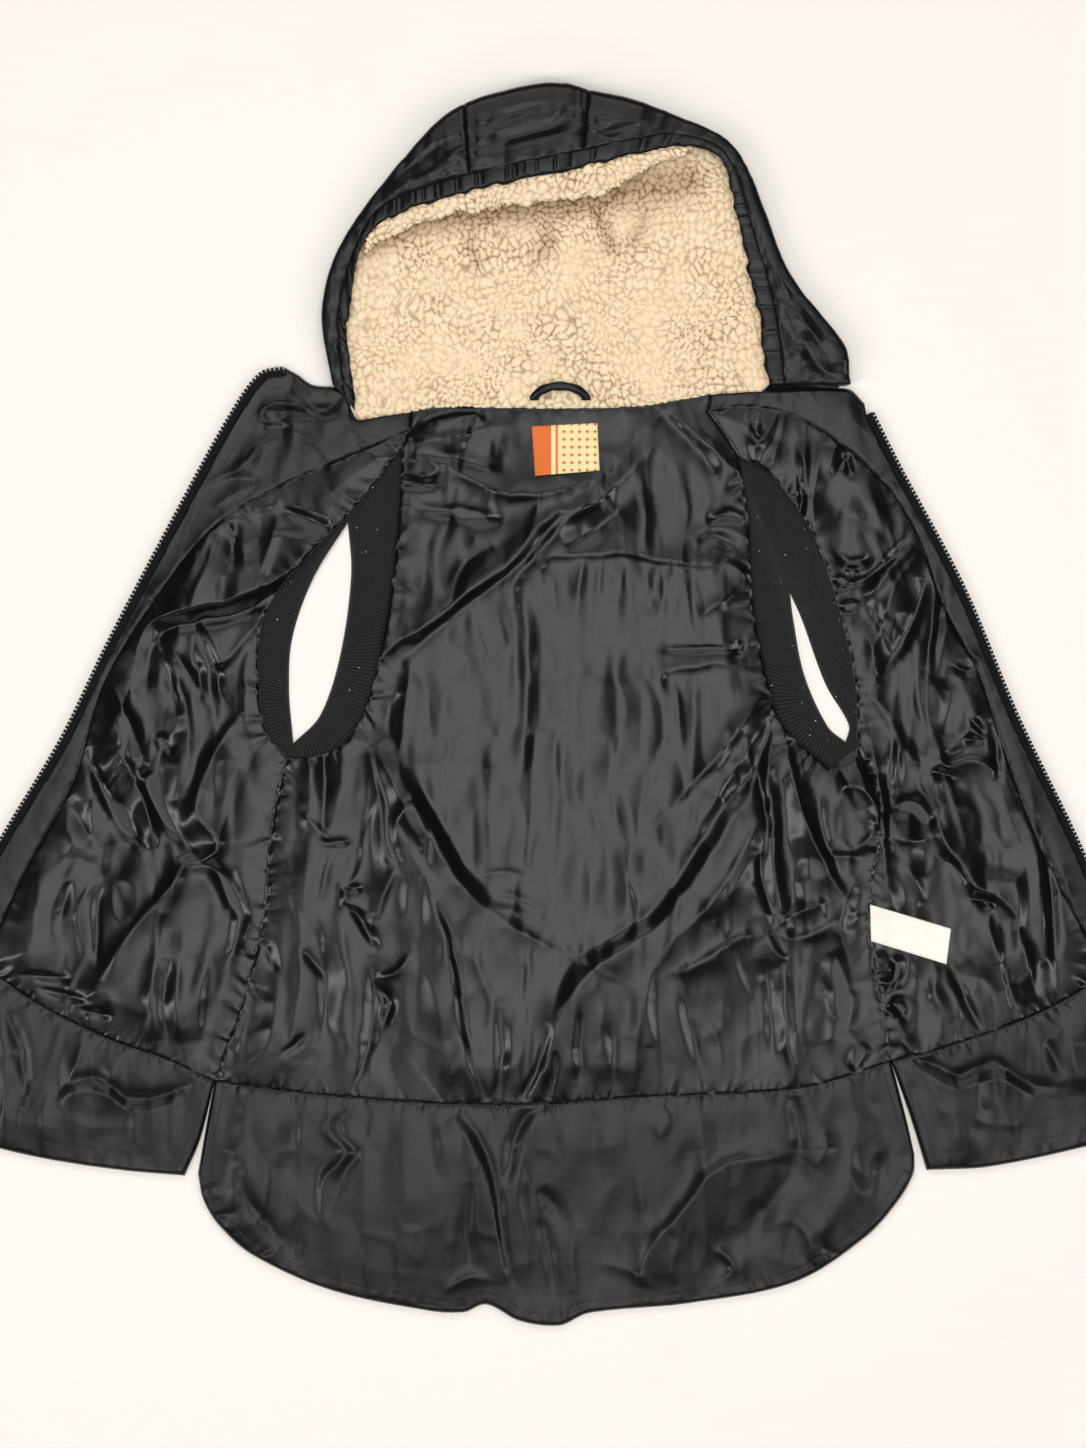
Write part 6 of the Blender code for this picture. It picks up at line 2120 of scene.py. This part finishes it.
@dataclass
class Label:
    """A woven label that lies on the lining."""

    name: str
    corners: tuple[tuple[float, float], ...]
    finish: Finish
    slot: str
    # How far its corners rise
    curl: float
    rests_on: str
    step: float = 2.0
    thickness: float = 0.5
    # How far it bridges, and how much it lies on the highest cloth there rather than on the mean
    bridge: float = 8.0
    top_share: float = 0.6
    lift: float = 1.0
    curl_radius: float = 40.0

    def build(self) -> bpy.types.Object:
        """Make the label as a thin closed sheet over the lining's relief.

        Returns:
            The new object.
        """
        outline = closed_outline([resample(np.array([start, end], float), self.step)
                                  for start, end in zip(self.corners, self.corners[1:] + self.corners[:1])])
        places, faces = triangulate(outline, inner_grid(outline, self.step))
        heights = self.settled(places)
        count, rim = len(places), len(outline)
        verts = np.vstack([np.column_stack([places, heights]),
                           np.column_stack([places, heights - self.thickness])])
        faces = [tuple(face) for face in faces]
        sides = [(index, (index + 1) % rim, (index + 1) % rim + count, index + count) for index in range(rim)]
        under = [tuple(index + count for index in reversed(face)) for face in faces]
        piece = add_piece(f"{self.name}_woven", verts, faces + under + [side[::-1] for side in sides],
                          self.finish)
        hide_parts(self.name)
        declare_sheet(outline, fullness=1.0)
        return piece

    def settled(self, places: np.ndarray) -> np.ndarray:
        """The label's height: stiffer than the lining, so it bridges its small puckers.

        Args:
            places: The label's places.

        Returns:
            The height at each place.
        """
        ways = (-self.bridge, 0.0, self.bridge)
        around = [RELIEF.height(places + (across, along)) for across in ways for along in ways]
        cloth = np.max(around, axis=0) * self.top_share + np.mean(around, axis=0) * (1 - self.top_share)
        radius = np.linalg.norm(places - np.mean(self.corners, axis=0), axis=1) / self.curl_radius
        return cloth + self.lift + self.curl * np.clip(radius, 0, 1) ** 2


@dataclass
class Topstitching:
    """The stitches along the hems and vents, as small rounded stitches of thread."""

    pitch: float = 4.6
    length: float = 3.3
    thickness: float = 0.5
    sides: int = 6
    zip_inset: float = 19.0
    # Beside the zip the stitches run down this part of its line
    zip_part: int = 3
    # Places along a stitch, and how thick the thread stands out of the cloth there
    along: tuple[float, ...] = (0.0, 0.15, 0.5, 0.85, 1.0)
    swell: tuple[float, ...] = (0.15, 0.75, 1.0, 0.75, 0.15)
    # How far a stitch's middle lies over the cloth, in thicknesses
    proud: float = 0.2

    def build(self) -> bpy.types.Object:
        """Make all the stitches as one piece.

        Returns:
            The new object.
        """
        panels = [closed_outline([seam(run) if isinstance(run, str) else run for run in panel.runs])
                  for panel in cloth_panels()]
        rows = []
        for name, inwards in HEMS.items():
            if not inwards:
                continue
            line = seam(name, LINE_STEP)
            for shifted in (line + side_normals(line) * inwards, line - side_normals(line) * inwards):
                inside = [panel for panel in panels if is_inside(panel, shifted[len(shifted) // 2][None])[0]]
                if inside:
                    rows.append(self.row(shifted, inwards, inside[0]))
        for side in Side:
            line = zip_line(side, self.zip_inset)[:ZIP_PLACES // self.zip_part]
            rows += [self.row(line, self.pitch, outline) for outline in panels
                     if is_inside(outline, line[len(line) // 2][None])[0]]
        spots, across = (np.concatenate(parts) for parts in zip(*rows))
        size = len(self.swell)
        swells = np.tile(self.swell, len(spots) // size) * self.thickness
        levels = RELIEF.height(spots) + self.proud * self.thickness
        turns = 2 * math.pi * np.arange(self.sides) / self.sides
        rings = spots[:, None] + across[:, None] * (np.cos(turns)[None] * swells[:, None])[..., None]
        verts = np.dstack([rings, levels[:, None] + np.sin(turns)[None] * swells[:, None]]).reshape(-1, 3)
        stitch = grid_faces(size, self.sides, closed=True)
        faces = [tuple(base + index for index in face) for base in range(0, len(verts), size * self.sides)
                 for face in stitch]
        piece = add_piece("hem_topstitching", verts, faces, SEWING_THREAD)
        return piece

    def row(self, line: np.ndarray, trim: float, outline: np.ndarray) -> tuple[np.ndarray, np.ndarray]:
        """One row of stitches.

        Args:
            line: The row's places.
            trim: How much of each end has none.
            outline: The panel that the stitches stay in.

        Returns:
            The places along each stitch, and the way across the stitch at each.
        """
        total = lengths_along(line)[-1]
        starts = np.arange(trim, total - trim - self.length, self.pitch)
        first, last = at_shares(line, starts / total), at_shares(line, (starts + self.length) / total)
        kept = is_inside(outline, first) & is_inside(outline, last)
        first, last = first[kept], last[kept]
        ahead = last - first
        spots = first[:, None] + ahead[:, None] * np.array(self.along)[None, :, None]
        across = np.column_stack([-ahead[:, 1], ahead[:, 0]]) / np.linalg.norm(ahead, axis=1)[:, None]
        return spots.reshape(-1, 2), np.repeat(across, len(self.along), axis=0)


@dataclass
class Lint:
    """White specks caught on the knitted bands."""

    pieces: list[bpy.types.Object]
    specks_a_piece: int = 26
    sizes: tuple[float, float] = (0.35, 0.85)
    # How much longer or shorter a speck is each way
    uneven: tuple[float, float] = (0.5, 1.3)
    lift: float = 0.2
    seed: int = 81
    # A speck is a small lump with six corners
    corners: tuple[tuple[float, float, float], ...] = ((1, 0, 0), (0, 1, 0), (-1, 0, 0), (0, -1, 0),
                                                       (0, 0, 0.6), (0, 0, -0.6))
    sides: tuple[tuple[int, int, int], ...] = ((0, 1, 4), (1, 2, 4), (2, 3, 4), (3, 0, 4), (1, 0, 5),
                                               (2, 1, 5), (3, 2, 5), (0, 3, 5))

    def build(self) -> bpy.types.Object:
        """Make all the specks as one piece, each on a vertex of what it lies on.

        Returns:
            The new object.
        """
        random = np.random.default_rng(self.seed)
        verts, faces = [], []
        for piece in self.pieces:
            mesh = piece.data.vertices
            for index in random.integers(0, len(mesh), self.specks_a_piece):
                place = np.array(mesh[index].co) / MM
                if place[2] < SHELL_TOP:
                    continue
                place[:2] += MIDDLE
                spread = random.uniform(*self.sizes) * random.uniform(*self.uneven, 3)
                faces += [tuple(len(verts) + corner for corner in side) for side in self.sides]
                verts += list(place + np.array(self.corners) * spread + (0, 0, self.lift))
        return add_piece("lint_specks", np.array(verts), faces, COTTON_LINT)


@dataclass(frozen=True)
class Softbox:
    """A rectangular softbox aimed at the middle of the garment: its place and size in metres, its watts."""

    name: str
    place: tuple[float, float, float]
    size: tuple[float, float]
    power: float

    def build(self) -> None:
        """Hang the light."""
        light = bpy.data.lights.new(self.name, "AREA")
        light.shape = "RECTANGLE"
        light.size, light.size_y = self.size
        light.energy = self.power
        light.color = linear("#fffdfb")[:3]
        holder = bpy.data.objects.new(self.name, light)
        holder.location = self.place
        holder.rotation_euler = (-Vector(self.place)).to_track_quat("-Z", "Y").to_euler()
        bpy.context.scene.collection.objects.link(holder)


class Stage:
    """The plain surface, the soft light and the camera."""

    # Half the floor's side, in metres, and how far it lies under the garment
    FLOOR_HALF = 12.0
    FLOOR_DROP = 0.2
    WORLD_STRENGTH = 0.08
    SOFTBOXES = (
        Softbox("softbox_overhead", (0.0, -0.1, 4.4), (2.8, 3.7), 73.0),
        Softbox("softbox_core", (0.0, -0.05, 4.2), (1.6, 1.9), 26.0),
        Softbox("softbox_left", (-2.4, -0.9, 2.8), (0.3, 2.2), 40.0),
        Softbox("softbox_right", (2.4, -0.9, 2.8), (0.3, 2.2), 33.0),
        Softbox("softbox_high", (0.0, 2.6, 3.3), (3.2, 1.6), 52.0),
        Softbox("softbox_low", (0.0, -3.2, 2.2), (2.6, 0.6), 10.0),
    )
    # What the camera sees at the cloth's level
    FRAME_HEIGHT = 1303.2
    FRAME_MIDDLE = (-1.335, -14.572)
    LENS = 85.0
    SENSOR = 36.0
    CLOTH_LEVEL = 8.0

    def build(self) -> None:
        """Set the stage."""
        self.floor()
        self.light()
        self.camera()

    def floor(self) -> None:
        """Lay the surface that the garment lies on."""
        half = self.FLOOR_HALF
        mesh = bpy.data.meshes.new("floor")
        mesh.from_pydata([(-half, -half, 0), (half, -half, 0), (half, half, 0), (-half, half, 0)], [],
                         [(0, 1, 2, 3)])
        mesh.materials.append(PAINTED_FLOOR.material())
        floor = bpy.data.objects.new("floor", mesh)
        bpy.context.scene.collection.objects.link(floor)
        floor.location.z = -self.FLOOR_DROP * MM

    def light(self) -> None:
        """Light it softly from above, so that flat satin is bright and slopes go dark."""
        world = bpy.data.worlds.new("studio")
        world.use_nodes = True
        background = world.node_tree.nodes["Background"].inputs
        background["Color"].default_value = linear("#ffffff")
        background["Strength"].default_value = self.WORLD_STRENGTH
        bpy.context.scene.world = world
        for softbox in self.SOFTBOXES:
            softbox.build()
        bpy.context.scene.view_settings.view_transform = "Standard"

    def camera(self) -> None:
        """Hang the camera straight above."""
        camera = bpy.data.cameras.new("camera")
        camera.lens = self.LENS
        camera.sensor_width = self.SENSOR
        holder = bpy.data.objects.new("camera", camera)
        distance = (self.FRAME_HEIGHT / 2 * self.LENS / (self.SENSOR / 2) + self.CLOTH_LEVEL) * MM
        holder.location = (self.FRAME_MIDDLE[0] * MM, self.FRAME_MIDDLE[1] * MM, distance)
        bpy.context.scene.collection.objects.link(holder)
        bpy.context.scene.camera = holder


def clear_defaults() -> None:
    """Remove what a new Blender file holds besides the frame."""
    for item in list(bpy.data.objects):
        if item.type in {"MESH", "LIGHT", "CAMERA"} and item.name not in frame["nodes"]:
            bpy.data.objects.remove(item)


def cloth_panels() -> list[ClothPanel]:
    """The satin linings and the shell-cloth facings.

    Returns:
        One panel for each.
    """
    edges = {side: resample(zip_line(side, TAPE_EDGE), EDGE_STEP) for side in Side}
    left, right = edges[Side.LEFT], edges[Side.RIGHT]
    lining, facing = (SATIN_LINING, "lining"), (TAFFETA_SHELL, "facing")
    return [
        ClothPanel("lining_back", ("neck", "shoulder high left", "shoulder low left", "arm back left",
                                   "arm foot left", "side left", "-hem seam back", "-side right",
                                   "arm back right", "shoulder low right", "shoulder high right"),
                   *lining, "shell_back"),
        ClothPanel("lining_front_right", ("side right", "-hem seam right", "-facing right",
                                          "-shoulder low right", "-arm front right"),
                   *lining, "shell_front_right"),
        ClothPanel("lining_front_left", ("side left", "hem seam left", "-facing left", "shoulder low left",
                                         "-arm front left"), *lining, "shell_front_left"),
        ClothPanel("facing_front_right", ("neck edge right", right, "hem zip right", "-facing foot right",
                                          "-facing right", "shoulder high right"),
                   *facing, "shell_front_right"),
        ClothPanel("facing_front_left", ("neck edge left", left, "-hem zip left", "-facing foot left",
                                         "-facing left", "-shoulder high left"),
                   *facing, "shell_front_left"),
        ClothPanel("facing_hem_back", ("hem seam back", "-vent back left", "-tail", "-vent back right"),
                   *facing, "shell_back"),
        ClothPanel("facing_hem_right", ("hem seam right", "-vent right", "-hem right",
                                        "-facing foot right"), *facing, "shell_front_right"),
        ClothPanel("facing_hem_left", ("hem seam left", "facing foot left", "-hem left", "-vent left"),
                   *facing, "shell_front_left"),
    ]


def shell_panels() -> list[PaddedShell]:
    """The three padded shell panels.

    Returns:
        One panel for each.
    """
    left, right = (zip_line(side, TAPE_EDGE) for side in (Side.LEFT, Side.RIGHT))
    return [
        PaddedShell("shell_back", ("neck", "shoulder high left", "shoulder low left", "arm back left",
                                   "arm foot left", "side left", "-vent back left", "-tail",
                                   "-vent back right", "-side right", "arm back right",
                                   "shoulder low right", "shoulder high right")),
        PaddedShell("shell_front_right", ("neck edge right", right, "hem zip right", "hem right",
                                          "vent right", "-side right", "arm front right",
                                          "shoulder low right", "shoulder high right")),
        PaddedShell("shell_front_left", ("neck edge left", left, "-hem zip left", "-hem left", "-vent left",
                                         "-side left", "arm front left", "-shoulder low left",
                                         "-shoulder high left")),
    ]


def rib_bands() -> list[RibBand]:
    """The four knitted bands."""
    return [
        RibBand("rib_front_right", ("arm front right",), "hole front right", "shell_front_right"),
        RibBand("rib_back_right", ("arm back right",), "hole back right", "shell_back"),
        RibBand("rib_front_left", ("arm front left",), "hole front left", "shell_front_left"),
        RibBand("rib_back_left", ("-arm foot left", "-arm back left"), "hole back left", "shell_back"),
    ]


def labels() -> list[Label]:
    """The label at the neck and the one in the left side seam."""
    return [
        Label("neck_label", ((-11, 253), (48, 256), (50, 213), (-8, 208)), NECK_RIBBON, "neck_label", 1.0,
              "lining_back_cloth"),
        Label("care_label", ((293, -177), (366, -199), (362, -231), (294, -210)), CARE_RIBBON, "care_label",
              3.0, "lining_front_left_cloth"),
    ]


def dress_hardware() -> None:
    """Give the zip's hard parts, which stay as their CAD solids, their finishes."""
    for name, finish in (("zip_slider", LACQUERED_ZINC), ("pull_tab", LACQUERED_ZINC),
                         ("zip_box_left", MOULDED_ACETAL), ("zip_pin_right", MOULDED_ACETAL)):
        for holder in frame["nodes"][name].material_slots:
            holder.material = finish.material()
        log.info("%s: dressed in %s", name, finish.name)


def main() -> None:
    """Build every sub-assembly in order and report its pieces."""
    logging.basicConfig(level=logging.INFO, format="%(message)s")
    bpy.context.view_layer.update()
    clear_defaults()
    for panel in (*shell_panels(), *cloth_panels()):
        panel.build()
    ribs = [band.build() for band in rib_bands()]
    Hood().build()
    HangerLoop().build()
    for side in Side:
        Zip(side).build()
    for label in labels():
        label.build()
    Topstitching().build()
    Lint(ribs).build()
    dress_hardware()
    Stage().build()


RELIEF = LiningRelief()

if __name__ == "__main__":
    main()
